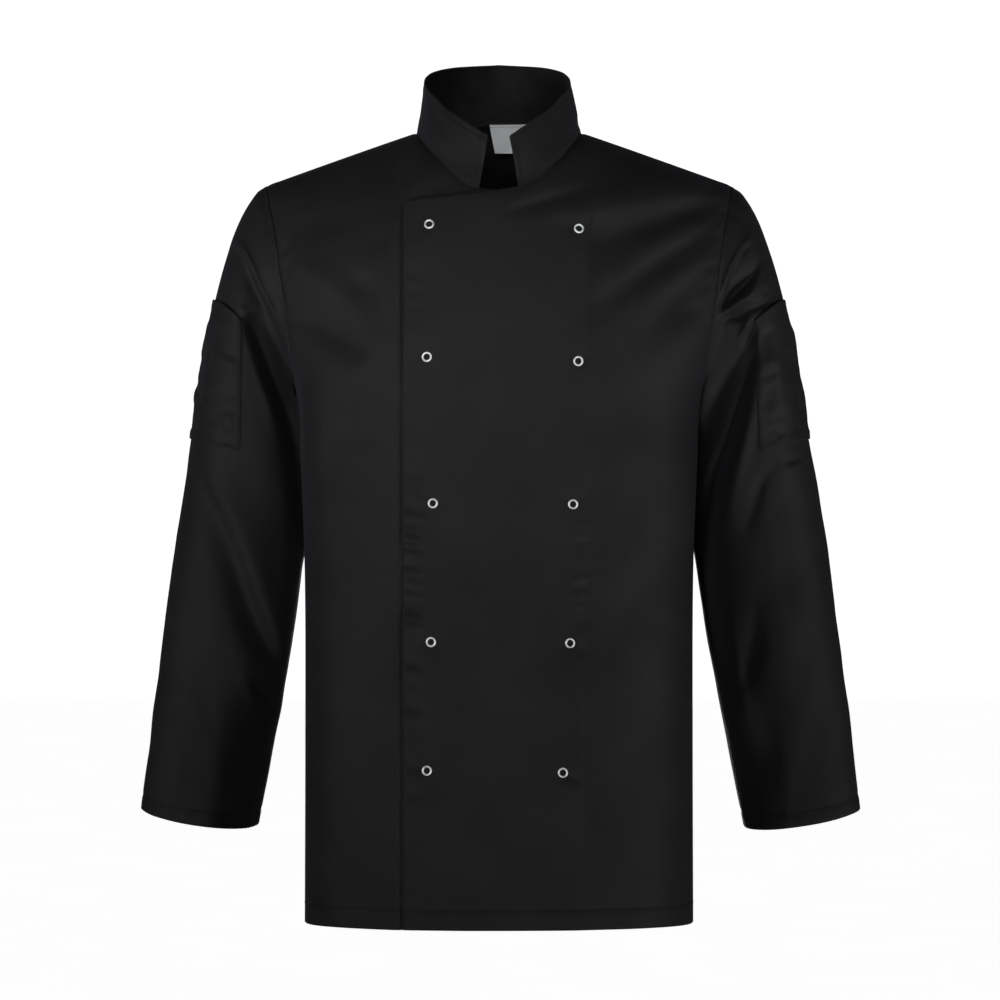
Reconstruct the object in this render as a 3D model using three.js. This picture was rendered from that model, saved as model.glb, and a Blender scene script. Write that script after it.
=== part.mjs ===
// A long-sleeved, double-breasted chef jacket with a stand collar, hollow as it hangs on a wearer.
// Millimetres, +Z up, the front faces -Y and +X is the wearer's left.
// The origin is level with the two points where the collar meets the shoulder seams, midway between them.
// The side seams and the shoulder seams lie in the plane Y = 0.

import * as THREE from "three";

const CLOTH = { wall: 1.6, seamGap: 0.4, collarWall: 2.0, pocketWall: 1.4, labelWall: 1.0 };

// Across the body the section is a superellipse. Above the chest it closes over the shoulder in a round.
const SECTION_POWER = 2.4;
const CHEST_Z = -262;

// Half width and the depth in front of and behind the side seams, from the hem to the shoulders.
const BODY_SECTIONS = [
  { z: -790, halfWidth: 194, front: 129, back: 127 },
  { z: -600, halfWidth: 193.5, front: 127, back: 121 },
  { z: -440, halfWidth: 194, front: 127, back: 118 },
  { z: -330, halfWidth: 198, front: 130, back: 124 },
  { z: CHEST_Z, halfWidth: 202, front: 131, back: 129 },
  { z: -210, halfWidth: 219, front: 131, back: 130 },
  { z: -156, halfWidth: 235, front: 131, back: 130 },
  { z: -100, halfWidth: 248, front: 131, back: 130 },
  { z: -50, halfWidth: 258, front: 131, back: 130 },
  { z: 60, halfWidth: 264, front: 131, back: 130 },
];

const HEM = { centreZ: -783, sideDrop: 2, dropPower: 6 };
const SHOULDER = { neckX: 82, neckZ: 2, tipX: 231, tipZ: -50.5, napeRise: 44, middleRound: 34 };

// The armhole in the front view: how far out its front and back edges run.
const ARMHOLE_EDGE = [
  { z: CHEST_Z, front: 202, back: 202 },
  { z: -231, front: 205.3, back: 201.6 },
  { z: -195, front: 210.5, back: 202 },
  { z: -156, front: 215.5, back: 203.5 },
  { z: -110, front: 220.5, back: 209.5 },
  { z: -70, front: 228, back: 223 },
  { z: SHOULDER.tipZ, front: SHOULDER.tipX, back: SHOULDER.tipX },
];

const NECKLINE = {
  halfWidth: SHOULDER.neckX, front: 92, back: 68, frontPower: 2.15, backPower: 1.85, collarEndX: 20.4,
};
const RIM = { leftWidth: 70.8, rightWidth: 74.2, front: 72, back: 66, endAngle: 9 };

// Height of the collar's rim by the angle round the neck, 0 degrees at the front and 180 at the nape.
const RIM_HEIGHTS = [
  { angle: 0, z: -11 },
  { angle: 9, z: -6.8 },
  { angle: 17, z: 0 },
  { angle: 29, z: 9.5 },
  { angle: 45, z: 21.5 },
  { angle: 58, z: 33.5 },
  { angle: 90, z: 52.5 },
  { angle: 109, z: 62 },
  { angle: 126, z: 67.7 },
  { angle: 147, z: 72.4 },
  { angle: 180, z: 75.5 },
];

// The lapped part of a front: its free edge, the corner at its top and the foot of the neck opening.
const LAP = {
  edgeX: -92, cornerZ: -73, notchX: -3, notchZ: -60.5, depth: 3,
  fullBelowZ: -76, goneAboveZ: -40, lowStart: 96, lowEnd: 125, highStart: 30, highEnd: 80,
};

// How the panels are divided: the cells along each stretch of an edge.
const CELLS = {
  lap: 6, frontNeck: 5, shoulder: 9, backNeck: 12, belowChest: 10, armhole: 12, collarHeight: 3,
};

// Rings of a sleeve in the front view, from the armhole to the cuff. Each has an outer and an inner point,
// the place and half of its depth, how far its inner side sets back, how far its flank lifts above a flat
// ring, how much lower its front hangs, and how far it turns its columns from the outer line, in degrees.
const SLEEVE_RINGS = [
  { ring: 0, outerX: 231, outerZ: -50.5, innerX: 202, innerZ: -262, middleY: 0, halfDepth: 60,
    innerBack: 0, lift: 0, frontDrop: 0, turn: 0 },
  { ring: 1, outerX: 244, outerZ: -61, innerX: 202.3, innerZ: -267.5, middleY: 2, halfDepth: 63,
    innerBack: 8, lift: 0.02, frontDrop: 0, turn: 0 },
  { ring: 3, outerX: 264, outerZ: -98, innerX: 201, innerZ: -278, middleY: 9, halfDepth: 69,
    innerBack: 20, lift: 0.09, frontDrop: 0, turn: 0 },
  { ring: 5, outerX: 285, outerZ: -165, innerX: 199.4, innerZ: -290, middleY: 17, halfDepth: 74,
    innerBack: 18, lift: 0.2, frontDrop: 0, turn: 0 },
  { ring: 7, outerX: 299, outerZ: -237, innerX: 198.3, innerZ: -308, middleY: 25, halfDepth: 75,
    innerBack: 14, lift: 0.12, frontDrop: 0, turn: 6 },
  { ring: 9, outerX: 309, outerZ: -303, innerX: 197.2, innerZ: -334, middleY: 31, halfDepth: 71,
    innerBack: 8, lift: 0.03, frontDrop: 0, turn: 10 },
  { ring: 11, outerX: 319, outerZ: -365, innerX: 195.6, innerZ: -384, middleY: 35, halfDepth: 65,
    innerBack: 4, lift: 0, frontDrop: 0, turn: 10 },
  { ring: 13, outerX: 329, outerZ: -432, innerX: 199, innerZ: -446, middleY: 36, halfDepth: 58.5,
    innerBack: 0, lift: 0, frontDrop: 0, turn: 9 },
  { ring: 15, outerX: 339, outerZ: -508, innerX: 211, innerZ: -524, middleY: 33, halfDepth: 52.5,
    innerBack: 0, lift: 0, frontDrop: 2, turn: 8 },
  { ring: 17, outerX: 349, outerZ: -592, innerX: 227, innerZ: -609, middleY: 28, halfDepth: 46,
    innerBack: 0, lift: 0, frontDrop: 4, turn: 7 },
  { ring: 19, outerX: 358.5, outerZ: -674, innerX: 243, innerZ: -693, middleY: 23, halfDepth: 42,
    innerBack: 0, lift: 0, frontDrop: 6, turn: 6 },
];
const SLEEVE = { columns: 24, rings: 19, blendRings: 5, swingFrom: 5, swingTo: 11 };

// How far each arm swings out below the elbow.
const ARM_SWING = { left: 4, right: 0.5 };

// A patch pocket covers these rings and columns of a sleeve, counted from the outer line to the front.
const POCKET = { firstRing: 5, lastRing: 9, backColumn: -2, frontColumn: 5 };

// Open ring studs in two columns on the left front.
const STUD = { radius: 5, boreRadius: 3.3, shoulderRadius: 4.3, height: 1.4, shoulderHeight: 0.8, sides: 14 };
const STUD_ROWS = [
  { row: 1, edgeX: -68, edgeZ: -96, sideX: 78, sideZ: -100 },
  { row: 2, edgeX: -70, edgeZ: -226, sideX: 77, sideZ: -230 },
  { row: 3, edgeX: -64, edgeZ: -368, sideX: 72, sideZ: -369 },
  { row: 4, edgeX: -66, edgeZ: -503, sideX: 69, sideZ: -504 },
  { row: 5, edgeX: -70, edgeZ: -628, sideX: 62, sideZ: -630 },
];

const LABEL = { leftX: -9.5, rightX: 32, topZ: 20, bottomZ: -13, columns: 6, slack: 0.7 };

// The largest folds, each a soft trough or ridge between two points of the front view.
// A rise below zero is a trough, and width is how far its flanks reach.
const FRONT_FOLDS = [
  { x1: 228, z1: -76, x2: 142, z2: -88, rise1: -4, rise2: -5, width: 15 },
  { x1: 142, z1: -88, x2: 112, z2: -80, rise1: -4, rise2: -1.5, width: 14 },
  { x1: 208, z1: -86, x2: 110, z2: -128, rise1: 2, rise2: 2, width: 16 },
  { x1: 216, z1: -112, x2: 140, z2: -158, rise1: -5, rise2: -5, width: 16 },
  { x1: 140, z1: -158, x2: 98, z2: -190, rise1: -4, rise2: -1, width: 18 },
  { x1: -212, z1: -190, x2: -150, z2: -236, rise1: -4, rise2: -3, width: 20 },
  { x1: -190, z1: -300, x2: -130, z2: -360, rise1: -2, rise2: -3, width: 26 },
  { x1: 170, z1: -420, x2: 120, z2: -560, rise1: -2, rise2: -2, width: 30 },
];
const BACK_FOLDS = [
  { x1: 205, z1: -150, x2: 120, z2: -230, rise1: -5, rise2: -3, width: 20 },
  { x1: -205, z1: -165, x2: -128, z2: -220, rise1: -5, rise2: -3, width: 18 },
  { x1: 118, z1: -300, x2: 96, z2: -740, rise1: -3, rise2: -6, width: 30 },
  { x1: -112, z1: -280, x2: -84, z2: -740, rise1: -3, rise2: -5, width: 28 },
  { x1: -8, z1: -420, x2: 14, z2: -740, rise1: 1, rise2: 5, width: 34 },
];
const LEFT_SLEEVE_FOLDS = [
  { face: -1, x1: 262, z1: -118, x2: 222, z2: -200, rise1: -3, rise2: -6, width: 12 },
  { face: -1, x1: 275, z1: -335, x2: 257, z2: -430, rise1: -3, rise2: -5, width: 20 },
  { face: -1, x1: 257, z1: -430, x2: 250, z2: -560, rise1: -5, rise2: -3, width: 18 },
  { face: 1, x1: 300, z1: -400, x2: 236, z2: -440, rise1: -4, rise2: -6, width: 18 },
  { face: 1, x1: 320, z1: -470, x2: 250, z2: -520, rise1: -3, rise2: -5, width: 18 },
];
const RIGHT_SLEEVE_FOLDS = [
  { face: -1, x1: 264, z1: -112, x2: 216, z2: -210, rise1: -3, rise2: -6, width: 12 },
  { face: -1, x1: 300, z1: -335, x2: 258, z2: -460, rise1: -3, rise2: -8, width: 20 },
  { face: -1, x1: 258, z1: -460, x2: 228, z2: -552, rise1: -8, rise2: -7, width: 18 },
  { face: 1, x1: 304, z1: -380, x2: 230, z2: -430, rise1: -4, rise2: -6, width: 18 },
  { face: 1, x1: 316, z1: -450, x2: 246, z2: -500, rise1: -3, rise2: -5, width: 18 },
];

const FRONT = -1;
const BACK = 1;

const MATERIALS = {
  twill: new THREE.MeshStandardMaterial({ color: 0x1c1c1f, roughness: 0.82, metalness: 0 }),
  metal: new THREE.MeshStandardMaterial({ color: 0xc9cbcf, roughness: 0.28, metalness: 1 }),
  label: new THREE.MeshStandardMaterial({ color: 0xb9bcc2, roughness: 0.7, metalness: 0 }),
};

const radians = (degrees) => (degrees * Math.PI) / 180;
const mix = (from, to, share) => from + (to - from) * share;

function smoothStep(low, high, value) {
  const share = Math.min(1, Math.max(0, (value - low) / (high - low)));
  return share * share * (3 - 2 * share);
}

/** A signed power, for the corners of a superellipse. */
function signedPower(value, power) {
  return Math.sign(value) * Math.abs(value) ** power;
}

/** Reads a column of a table at any place on its key column, smoothly between the rows. */
function readTable(rows, key, column, place) {
  const last = rows.length - 1;
  if (place <= rows[0][key]) return rows[0][column];
  if (place >= rows[last][key]) return rows[last][column];
  const upper = rows.findIndex((row) => row[key] > place);
  const lower = upper - 1;
  const step = rows[upper][key] - rows[lower][key];
  const share = (place - rows[lower][key]) / step;
  const slopeAt = (index) => {
    const before = rows[Math.max(0, index - 1)];
    const after = rows[Math.min(last, index + 1)];
    return (after[column] - before[column]) / (after[key] - before[key]);
  };
  const square = share * share;
  const cube = square * share;
  return (
    (2 * cube - 3 * square + 1) * rows[lower][column] +
    (cube - 2 * square + share) * step * slopeAt(lower) +
    (3 * square - 2 * cube) * rows[upper][column] +
    (cube - square) * step * slopeAt(upper)
  );
}

const bodyAt = (column, z) => readTable(BODY_SECTIONS, "z", column, z);

/** Height of the line that the body closes to at its top, round at the middle, which rises to the nape. */
function ridgeZ(x, face) {
  const out = (place) => Math.hypot(place, SHOULDER.middleRound);
  const slope = (SHOULDER.neckZ - SHOULDER.tipZ) / (out(SHOULDER.tipX) - out(SHOULDER.neckX));
  const line = SHOULDER.neckZ - slope * (out(x) - out(SHOULDER.neckX));
  const nape = SHOULDER.napeRise * (1 - smoothStep(0, SHOULDER.neckX, Math.abs(x)));
  return face === BACK ? line + nape : line;
}

/** Share of the way from the chest up to the ridge, 0 at the chest and below it. */
function riseShare(x, z, face) {
  return Math.min(1, Math.max(0, (z - CHEST_Z) / (ridgeZ(x, face) - CHEST_Z)));
}

/** Depth of the body's section at a place across, before it closes over the shoulder. */
function sectionDepth(x, z, face) {
  const across = Math.min(1, Math.abs(x) / bodyAt("halfWidth", z)) ** SECTION_POWER;
  return bodyAt(face === FRONT ? "front" : "back", z) * (1 - across) ** (1 / SECTION_POWER);
}

/** Depth of the body's plain form at a point of the front view. */
function formY(x, z, face) {
  return face * sectionDepth(x, z, face) * Math.sqrt(1 - riseShare(x, z, face) ** 2);
}

/** Height of the plain form above a point of the plan, near the neck. */
function formZ(x, y, face) {
  const ridge = ridgeZ(x, face);
  let z = ridge;
  for (let pass = 0; pass < 6; pass += 1) {
    const closing = Math.max(0, 1 - (y / sectionDepth(x, z, face)) ** 2);
    z = CHEST_Z + (ridge - CHEST_Z) * Math.sqrt(closing);
  }
  return z;
}

/** Outward direction of the plain form, from the slope of its implicit equation. */
function formNormal(x, y, z, face) {
  const level = (px, py, pz) => {
    const depth = bodyAt(face === FRONT ? "front" : "back", pz);
    const across = Math.min(1, Math.abs(px) / bodyAt("halfWidth", pz)) ** SECTION_POWER;
    const rise = Math.max(0, (pz - CHEST_Z) / (ridgeZ(px, face) - CHEST_Z));
    return (py / depth) ** 2 - (1 - across) ** (2 / SECTION_POWER) * (1 - rise * rise);
  };
  const reach = 0.5;
  return new THREE.Vector3(
    level(x + reach, y, z) - level(x - reach, y, z),
    level(x, y + reach, z) - level(x, y - reach, z),
    level(x, y, z + reach) - level(x, y, z - reach),
  ).normalize();
}

/** Sum of the soft troughs and ridges at a point of the front view. */
function foldRise(folds, x, z) {
  let total = 0;
  for (const fold of folds) {
    const alongX = fold.x2 - fold.x1;
    const alongZ = fold.z2 - fold.z1;
    const share = ((x - fold.x1) * alongX + (z - fold.z1) * alongZ) / (alongX ** 2 + alongZ ** 2);
    const held = Math.min(1, Math.max(0, share));
    const distance = Math.hypot(x - fold.x1 - held * alongX, z - fold.z1 - held * alongZ);
    total += mix(fold.rise1, fold.rise2, held) * Math.exp(-((distance / fold.width) ** 2));
  }
  return total;
}

/** A point on the outside of the body with its outward direction. Folds die out towards the seams. */
function bodyPoint(x, z, face, sink = 0) {
  const y = formY(x, z, face);
  const normal = formNormal(x, y, z, face);
  const sideFade = smoothStep(0, 0.08, 1 - Math.abs(x) / bodyAt("halfWidth", z));
  const topFade = smoothStep(0, 0.12, 1 - riseShare(x, z, face));
  const folds = face === FRONT ? FRONT_FOLDS : BACK_FOLDS;
  const rise = foldRise(folds, x, z) * sideFade * topFade - sink;
  return { point: new THREE.Vector3(x, y, z).addScaledVector(normal, rise), normal };
}

/** How deep the right front lies under the left one, by the distance across from its own free edge. */
function lapSink(across, z) {
  const high = smoothStep(LAP.fullBelowZ, LAP.goneAboveZ, z);
  const start = mix(LAP.lowStart, LAP.highStart, high);
  const end = mix(LAP.lowEnd, LAP.highEnd, high);
  return LAP.depth * (1 - smoothStep(start, end, across));
}

/** Shares of the half width, evenly spaced along a section's cloth, from an inner edge to the side seam. */
function sectionShares(z, fromX, face, cells) {
  const samples = 240;
  const halfWidth = bodyAt("halfWidth", z);
  const depth = bodyAt(face === FRONT ? "front" : "back", z);
  const startAngle = Math.asin(signedPower(fromX / halfWidth, SECTION_POWER / 2));
  const line = [];
  for (let index = 0; index <= samples; index += 1) {
    const angle = mix(startAngle, Math.PI / 2, index / samples);
    const x = halfWidth * signedPower(Math.sin(angle), 2 / SECTION_POWER);
    const y = depth * Math.abs(Math.cos(angle)) ** (2 / SECTION_POWER);
    const last = line[index - 1] ?? { x, y, length: 0 };
    line.push({ angle, x, y, length: last.length + Math.hypot(x - last.x, y - last.y) });
  }
  const total = line[samples].length - CLOTH.seamGap / 2;
  return Array.from({ length: cells + 1 }, (_, cell) => {
    const target = (total * cell) / cells;
    const upper = Math.max(1, line.findIndex((entry) => entry.length >= target));
    const within = (target - line[upper - 1].length) / (line[upper].length - line[upper - 1].length);
    const angle = mix(line[upper - 1].angle, line[upper].angle, within);
    return signedPower(Math.sin(angle), 2 / SECTION_POWER);
  });
}

/** Rise angle of a height above the chest, 0 at the chest and a right angle at the ridge. */
function riseAngle(x, z, face) {
  return Math.asin(riseShare(x, z, face));
}

function heightAt(x, angle, face) {
  return CHEST_Z + (ridgeZ(x, face) - CHEST_Z) * Math.sin(angle);
}

/** The neckline in plan, 0 degrees at the front, with its height on the body's form. */
function neckPoint(angle) {
  const face = Math.cos(radians(angle)) >= 0 ? FRONT : BACK;
  const power = 2 / (face === FRONT ? NECKLINE.frontPower : NECKLINE.backPower);
  const depth = face === FRONT ? NECKLINE.front : NECKLINE.back;
  const x = NECKLINE.halfWidth * signedPower(Math.sin(radians(angle)), power);
  const y = face * depth * Math.abs(Math.cos(radians(angle))) ** power;
  return { x, y, z: formZ(x, y, face), face };
}

/** Angles of the collar's end and of each cell along the neckline, from the front to the nape. */
function neckAngles() {
  const power = NECKLINE.frontPower / 2;
  const endAngle = THREE.MathUtils.radToDeg(Math.asin((NECKLINE.collarEndX / NECKLINE.halfWidth) ** power));
  const front = Array.from({ length: CELLS.frontNeck }, (_, cell) =>
    mix(endAngle, 90, cell / CELLS.frontNeck),
  );
  const half = CELLS.backNeck / 2;
  const back = Array.from({ length: half + 1 }, (_, cell) => mix(90, 180, cell / half));
  return { endAngle, front, back };
}

/** Places along the shoulder seam, from the neck to the tip, kept clear of the seam by half a gap. */
function shoulderEdge(face) {
  return Array.from({ length: CELLS.shoulder + 1 }, (_, cell) => {
    const x = mix(SHOULDER.neckX, SHOULDER.tipX, cell / CELLS.shoulder);
    const reach = sectionDepth(x, ridgeZ(x, face), face);
    return { x, angle: Math.acos(CLOTH.seamGap / 2 / reach) };
  });
}

/** Places up one edge of an armhole, from the underarm to the shoulder tip. */
function armholeEdge(face) {
  const middle = (SHOULDER.tipZ + CHEST_Z) / 2;
  const half = (SHOULDER.tipZ - CHEST_Z) / 2;
  return Array.from({ length: CELLS.armhole + 1 }, (_, cell) => {
    const z = middle - half * Math.cos((Math.PI * cell) / CELLS.armhole);
    const x = readTable(ARMHOLE_EDGE, "z", face === FRONT ? "front" : "back", z);
    return { x, angle: riseAngle(x, z, face) };
  });
}

/** Fills a patch between four edges given as places across and rise angles. */
function blendEdges(bottom, top, left, right) {
  const columns = bottom.length - 1;
  const rows = left.length - 1;
  const blend = (key, column, row) => {
    const across = column / columns;
    const up = row / rows;
    const upward = mix(bottom[column][key], top[column][key], up);
    const sideways = mix(left[row][key], right[row][key], across);
    const low = mix(bottom[0][key], bottom[columns][key], across);
    const high = mix(top[0][key], top[columns][key], across);
    return upward + sideways - mix(low, high, up);
  };
  return left.map((_, row) =>
    bottom.map((_, column) => ({ x: blend("x", column, row), angle: blend("angle", column, row) })),
  );
}

/** Rows of a panel below the chest, from the hem up, as places in the front view. */
function lowerRows(sharesAt) {
  return Array.from({ length: CELLS.belowChest }, (_, row) => {
    const up = row / CELLS.belowChest;
    return sharesAt(mix(HEM.centreZ, CHEST_Z, up)).map((share) => {
      const z = mix(HEM.centreZ - HEM.sideDrop * Math.abs(share) ** HEM.dropPower, CHEST_Z, up);
      return { x: share * bodyAt("halfWidth", z), z };
    });
  });
}

/** The left front as places in the front view, row by row from the hem to its top edge. */
function frontPlaces() {
  const cells = CELLS.lap + CELLS.frontNeck + CELLS.shoulder;
  const sharesAt = (z) => sectionShares(z, LAP.edgeX, FRONT, cells);
  const angles = neckAngles();
  const neck = [...angles.front, 90].map((angle) => {
    const place = neckPoint(angle);
    return { x: place.x, angle: riseAngle(place.x, place.z, FRONT) };
  });
  const lap = Array.from({ length: CELLS.lap }, (_, cell) => {
    const x = mix(LAP.edgeX, NECKLINE.collarEndX, cell / CELLS.lap);
    const collarEnd = neckPoint(angles.endAngle);
    const z =
      x < LAP.notchX
        ? mix(LAP.cornerZ, LAP.notchZ, (x - LAP.edgeX) / (LAP.notchX - LAP.edgeX))
        : mix(LAP.notchZ, collarEnd.z, (x - LAP.notchX) / (collarEnd.x - LAP.notchX));
    return { x, angle: riseAngle(x, z, FRONT) };
  });
  const top = [...lap, ...neck.slice(0, -1), ...shoulderEdge(FRONT)];
  const chestWidth = bodyAt("halfWidth", CHEST_Z);
  const bottom = sharesAt(CHEST_Z).map((share) => ({ x: share * chestWidth, angle: 0 }));
  const left = Array.from({ length: CELLS.armhole + 1 }, (_, row) => ({
    x: LAP.edgeX,
    angle: (top[0].angle * row) / CELLS.armhole,
  }));
  const right = armholeEdge(FRONT);
  right[0] = bottom[cells];
  right[CELLS.armhole] = top[cells];
  const upper = blendEdges(bottom, top, left, right).map((row) =>
    row.map(({ x, angle }) => ({ x, z: heightAt(x, angle, FRONT) })),
  );
  return [...lowerRows(sharesAt), ...upper];
}

/** The back as places in the front view, row by row from the hem to its top edge. */
function backPlaces() {
  const half = CELLS.backNeck / 2 + CELLS.shoulder;
  const mirrored = (places) => [
    ...places.slice(1).reverse().map((place) => ({ ...place, x: -place.x })),
    ...places,
  ];
  const sharesAt = (z) => {
    const shares = sectionShares(z, 0, BACK, half);
    return [...shares.slice(1).reverse().map((share) => -share), ...shares];
  };
  const chestWidth = bodyAt("halfWidth", CHEST_Z);
  const neck = neckAngles().back.map((angle) => {
    const place = neckPoint(angle);
    return { x: place.x, angle: riseAngle(place.x, place.z, BACK) };
  });
  const top = mirrored([...neck.slice(1).reverse(), ...shoulderEdge(BACK)]);
  const bottom = sharesAt(CHEST_Z).map((share) => ({ x: share * chestWidth, angle: 0 }));
  const right = armholeEdge(BACK);
  right[0] = bottom[2 * half];
  right[CELLS.armhole] = top[2 * half];
  const left = right.map((place) => ({ ...place, x: -place.x }));
  const upper = blendEdges(bottom, top, left, right).map((row) =>
    row.map(({ x, angle }) => ({ x, z: heightAt(x, angle, BACK) })),
  );
  return [...lowerRows(sharesAt), ...upper];
}

/** Turns a grid of outer points and inward directions into a closed wall. */
function wallGeometry(grid, thickness, closedRows = false) {
  const rows = grid.length;
  const columns = grid[0].length;
  const positions = [];
  const indices = [];
  for (const depth of [0, thickness]) {
    for (const row of grid) {
      for (const { point, normal } of row) {
        positions.push(...point.clone().addScaledVector(normal, -depth).toArray());
      }
    }
  }
  const layer = rows * columns;
  const at = (row, column, inner) => row * columns + (column % columns) + (inner ? layer : 0);
  const quad = (a, b, c, d) => indices.push(a, b, c, a, c, d);
  const lastColumn = closedRows ? columns : columns - 1;
  for (let row = 0; row < rows - 1; row += 1) {
    for (let column = 0; column < lastColumn; column += 1) {
      quad(at(row, column), at(row, column + 1), at(row + 1, column + 1), at(row + 1, column));
      quad(
        at(row, column, true), at(row + 1, column, true),
        at(row + 1, column + 1, true), at(row, column + 1, true),
      );
    }
  }
  for (let column = 0; column < lastColumn; column += 1) {
    quad(at(0, column), at(0, column, true), at(0, column + 1, true), at(0, column + 1));
    quad(
      at(rows - 1, column), at(rows - 1, column + 1),
      at(rows - 1, column + 1, true), at(rows - 1, column, true),
    );
  }
  if (!closedRows) {
    for (let row = 0; row < rows - 1; row += 1) {
      quad(at(row, 0), at(row + 1, 0), at(row + 1, 0, true), at(row, 0, true));
      quad(
        at(row, columns - 1), at(row, columns - 1, true),
        at(row + 1, columns - 1, true), at(row + 1, columns - 1),
      );
    }
  }
  return facingOut(positions, indices);
}

/** Builds a geometry whose faces point out, whichever way its grid ran. */
function facingOut(positions, indices) {
  const corner = (index) => new THREE.Vector3().fromArray(positions, 3 * indices[index]);
  let volume = 0;
  for (let face = 0; face < indices.length; face += 3) {
    volume += corner(face).dot(corner(face + 1).cross(corner(face + 2)));
  }
  const ordered = volume > 0 ? indices : [...indices].reverse();
  const geometry = new THREE.BufferGeometry();
  geometry.setAttribute("position", new THREE.Float32BufferAttribute(positions, 3));
  geometry.setIndex(ordered);
  geometry.computeVertexNormals();
  return geometry;
}

/** Outward directions of a grid, from its neighbours. Rows that close on themselves wrap round. */
function withNormals(points, closedRows, insideOf) {
  const rows = points.length;
  const columns = points[0].length;
  return points.map((row, rowIndex) =>
    row.map((point, column) => {
      const before = closedRows ? (column + columns - 1) % columns : Math.max(0, column - 1);
      const after = closedRows ? (column + 1) % columns : Math.min(columns - 1, column + 1);
      const across = new THREE.Vector3().subVectors(row[after], row[before]);
      const below = points[Math.max(0, rowIndex - 1)][column];
      const above = points[Math.min(rows - 1, rowIndex + 1)][column];
      const normal = across.cross(new THREE.Vector3().subVectors(above, below)).normalize();
      if (normal.dot(new THREE.Vector3().subVectors(point, insideOf(rowIndex))) < 0) normal.negate();
      return { point, normal };
    }),
  );
}

function addMesh(group, name, geometry, material) {
  const mesh = new THREE.Mesh(geometry, material);
  mesh.name = name;
  group.add(mesh);
  return mesh;
}

/** A front panel. The left one laps over, and the right one is its mirror image, sunk where it is covered. */
function addFront(group, name, side) {
  const grid = frontPlaces().map((row) =>
    row.map(({ x, z }) => bodyPoint(side * x, z, FRONT, side > 0 ? 0 : lapSink(x, z))),
  );
  addMesh(group, name, wallGeometry(grid, CLOTH.wall), MATERIALS.twill);
}

function addBack(group) {
  const grid = backPlaces().map((row) => row.map(({ x, z }) => bodyPoint(x, z, BACK)));
  addMesh(group, "back", wallGeometry(grid, CLOTH.wall), MATERIALS.twill);
}

/** The armhole's edge as a loop of points, from the shoulder tip round the front to the underarm and back. */
function armholeLoop(side) {
  const half = SLEEVE.columns / 2;
  const edges = { [FRONT]: armholeEdge(FRONT), [BACK]: armholeEdge(BACK) };
  return Array.from({ length: SLEEVE.columns }, (_, column) => {
    const face = column <= half ? FRONT : BACK;
    const row = Math.abs(half - column);
    const { x, angle } = edges[face][row];
    const { point } = bodyPoint(side * x, heightAt(x, angle, face), face);
    return new THREE.Vector3(side * point.x + CLOTH.seamGap, point.y, point.z);
  });
}

/** A point of a sleeve's plain ring, on the side of the wearer's left arm. */
function ringPoint(ring, angle, swing) {
  const read = (column) => readTable(SLEEVE_RINGS, "ring", column, ring);
  const turned = angle + radians(read("turn")) * Math.sin(angle);
  const outward = (1 + Math.cos(turned)) / 2;
  const raised = outward + read("lift") * Math.sin(turned) ** 2;
  return new THREE.Vector3(
    mix(read("innerX"), read("outerX"), outward) + swing * smoothStep(SLEEVE.swingFrom, SLEEVE.swingTo, ring),
    read("middleY") - read("halfDepth") * Math.sin(turned) + read("innerBack") * (1 - outward),
    mix(read("innerZ"), read("outerZ"), raised) - read("frontDrop") * Math.sin(turned),
  );
}

/** A sleeve's outer points, ring by ring from the armhole to the cuff, before it is mirrored to its side. */
function sleevePoints({ side, swing, folds }) {
  const loop = armholeLoop(side);
  const centre = (ring) => ringPoint(ring, 0, swing).add(ringPoint(ring, Math.PI, swing)).multiplyScalar(0.5);
  const plain = Array.from({ length: SLEEVE.rings + 1 }, (_, ring) =>
    loop.map((edge, column) => {
      const angle = (2 * Math.PI * column) / SLEEVE.columns;
      const fade = 1 - smoothStep(0, SLEEVE.blendRings, ring);
      const toEdge = edge.clone().sub(ringPoint(0, angle, swing));
      return ringPoint(ring, angle, swing).addScaledVector(toEdge, fade);
    }),
  );
  const grid = withNormals(plain, true, centre);
  return grid.map((row, ring) =>
    row.map(({ point, normal }, column) => {
      if (ring === 0) return { point, normal: point.clone().sub(centre(0)).setX(0).normalize() };
      const turn = Math.sin((2 * Math.PI * column) / SLEEVE.columns);
      const rise = [FRONT, BACK].reduce((sum, face) => {
        const onFace = smoothStep(0, 0.5, -face * turn);
        return sum + onFace * foldRise(folds.filter((fold) => fold.face === face), point.x, point.z);
      }, 0);
      const seamFade = smoothStep(0, 2, ring);
      return { point: point.clone().addScaledVector(normal, rise * seamFade), normal };
    }),
  );
}

function mirroredTo(side, grid) {
  const flip = (vector) => new THREE.Vector3(side * vector.x, vector.y, vector.z);
  return grid.map((row) => row.map(({ point, normal }) => ({ point: flip(point), normal: flip(normal) })));
}

/** A patch pocket made from the sleeve's own points, moved out. */
function pocketGrid(sleeve) {
  const rings = sleeve.slice(POCKET.firstRing, POCKET.lastRing + 1);
  const count = POCKET.frontColumn - POCKET.backColumn + 1;
  const lift = CLOTH.seamGap + CLOTH.pocketWall;
  return rings.map((row) =>
    Array.from({ length: count }, (_, index) => {
      const { point, normal } = row[(POCKET.backColumn + index + SLEEVE.columns) % SLEEVE.columns];
      return { point: point.clone().addScaledVector(normal, lift), normal };
    }),
  );
}

function addSleeve(group, word, arm) {
  const sleeve = sleevePoints(arm);
  const wall = wallGeometry(mirroredTo(arm.side, sleeve), CLOTH.wall, true);
  addMesh(group, `sleeve_${word}`, wall, MATERIALS.twill);
  const pocket = wallGeometry(mirroredTo(arm.side, pocketGrid(sleeve)), CLOTH.pocketWall);
  addMesh(group, `pocket_${word}`, pocket, MATERIALS.twill);
}

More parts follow.
